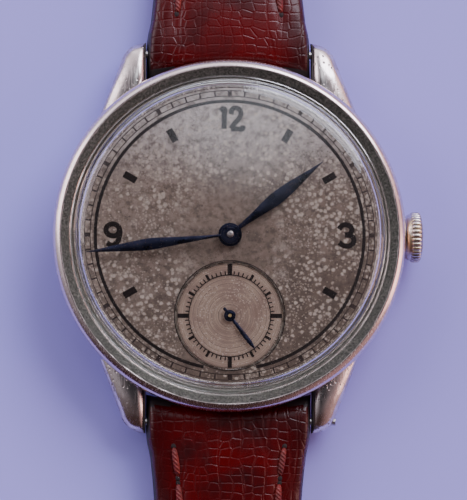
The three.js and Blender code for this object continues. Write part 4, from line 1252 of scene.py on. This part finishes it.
def make_floor():
    bm = bmesh.new()
    bmesh.ops.create_grid(bm, x_segments=1, y_segments=1, size=FLOOR_HALF)
    mesh = as_mesh("paper", moved(bm, (0, 0, CAD_BOX[0][2] - FLOOR_GAP)))
    mesh.materials.append(material("lavender_paper", build_paper))
    floor = linked("paper_floor", mesh)


def make_world():
    """A room: dim behind the viewer, a bright belt and a soft glow towards 12, pinkish at the right."""
    world = bpy.data.worlds.new("room")
    bpy.context.scene.world = world
    world.use_nodes = True
    tree = world.node_tree
    way = Value(tree, add_node(tree, "ShaderNodeTexCoord").outputs["Generated"])
    x, y, z = way.parts()
    room = y.ramp(-0.75, 0.35).mix((0.06, 0.032, 0.032), (0.60, 0.56, 0.64))
    sides = x.ramp(0.15, 0.9).mix(room, (0.60, 0.36, 0.36))
    ceiling = z.ramp(0.8, 0.985).mix(sides, (0.035, 0.033, 0.04))
    belt = z.ramp(0.05, 0.3) * z.ramp(0.82, 0.5) * y.ramp(-0.45, 0.7, 0.1, 1.7)
    towards = (0.08, 0.37, 0.9256)
    near = way.new("ShaderNodeVectorMath", {"operation": "DOT_PRODUCT"}, output="Value", i0=way, i1=towards)
    glow = near.ramp(0.952, 0.9999)
    glow = glow * glow
    back = tree.nodes["Background"]
    connect(back.inputs["Color"], glow.mix(ceiling, (0.72, 0.76, 0.86)))
    connect(back.inputs["Strength"], glow + (belt * 1.25 + 0.8))


LIGHTS = (  # name, place, size, watts, tint
    ("window", (0.42, 0.62, 0.6), (0.6, 0.5), 7.5, (0.84, 0.85, 1.0)),
    ("left_fill", (-0.75, 0.3, 0.45), (0.5, 0.7), 2.6, (1.0, 0.86, 0.95)),
    ("pink_wall", (0.75, -0.1, 0.3), (0.3, 0.5), 1.6, (1.0, 0.6, 0.55)),
)
WATCH_MIDDLE = Vector((0.0, 0.0, 0.006))


def make_lights():
    """Soft square lights that all face the watch."""
    for name, place, size, watts, tint in LIGHTS:
        lamp = bpy.data.lights.new(name, "AREA")
        lamp.shape = "RECTANGLE"
        lamp.size, lamp.size_y = size
        lamp.energy = watts
        lamp.color = tint
        holder = linked(name, lamp)
        holder.location = place
        holder.rotation_euler = (WATCH_MIDDLE - Vector(place)).to_track_quat("-Z", "Y").to_euler()


CAMERA_AIM = Vector((0.00041, -0.00147, 0.005))
CAMERA_REACH = 0.3
CAMERA_LEFT = radians(-2.4)
CAMERA_BELOW = radians(-4.3)


def make_camera():
    """Almost straight above, a little to the left and below."""
    camera = bpy.data.cameras.new("camera")
    camera.lens = 211.7
    camera.sensor_width = 36.0
    x, y = sin(CAMERA_LEFT), sin(CAMERA_BELOW)
    place = CAMERA_REACH * Vector((x, y, sqrt(1 - x**2 - y**2))) + Vector((0, 0, CAMERA_AIM.z))
    back = (place - CAMERA_AIM).normalized()
    right = Vector((0, 1, 0)).cross(back).normalized()
    holder = linked("camera", camera)
    turn = Matrix((right, back.cross(right), back)).transposed().to_4x4()
    holder.matrix_world = Matrix.Translation(place) @ turn
    bpy.context.scene.camera = holder


make_floor()
make_world()
make_lights()
make_camera()
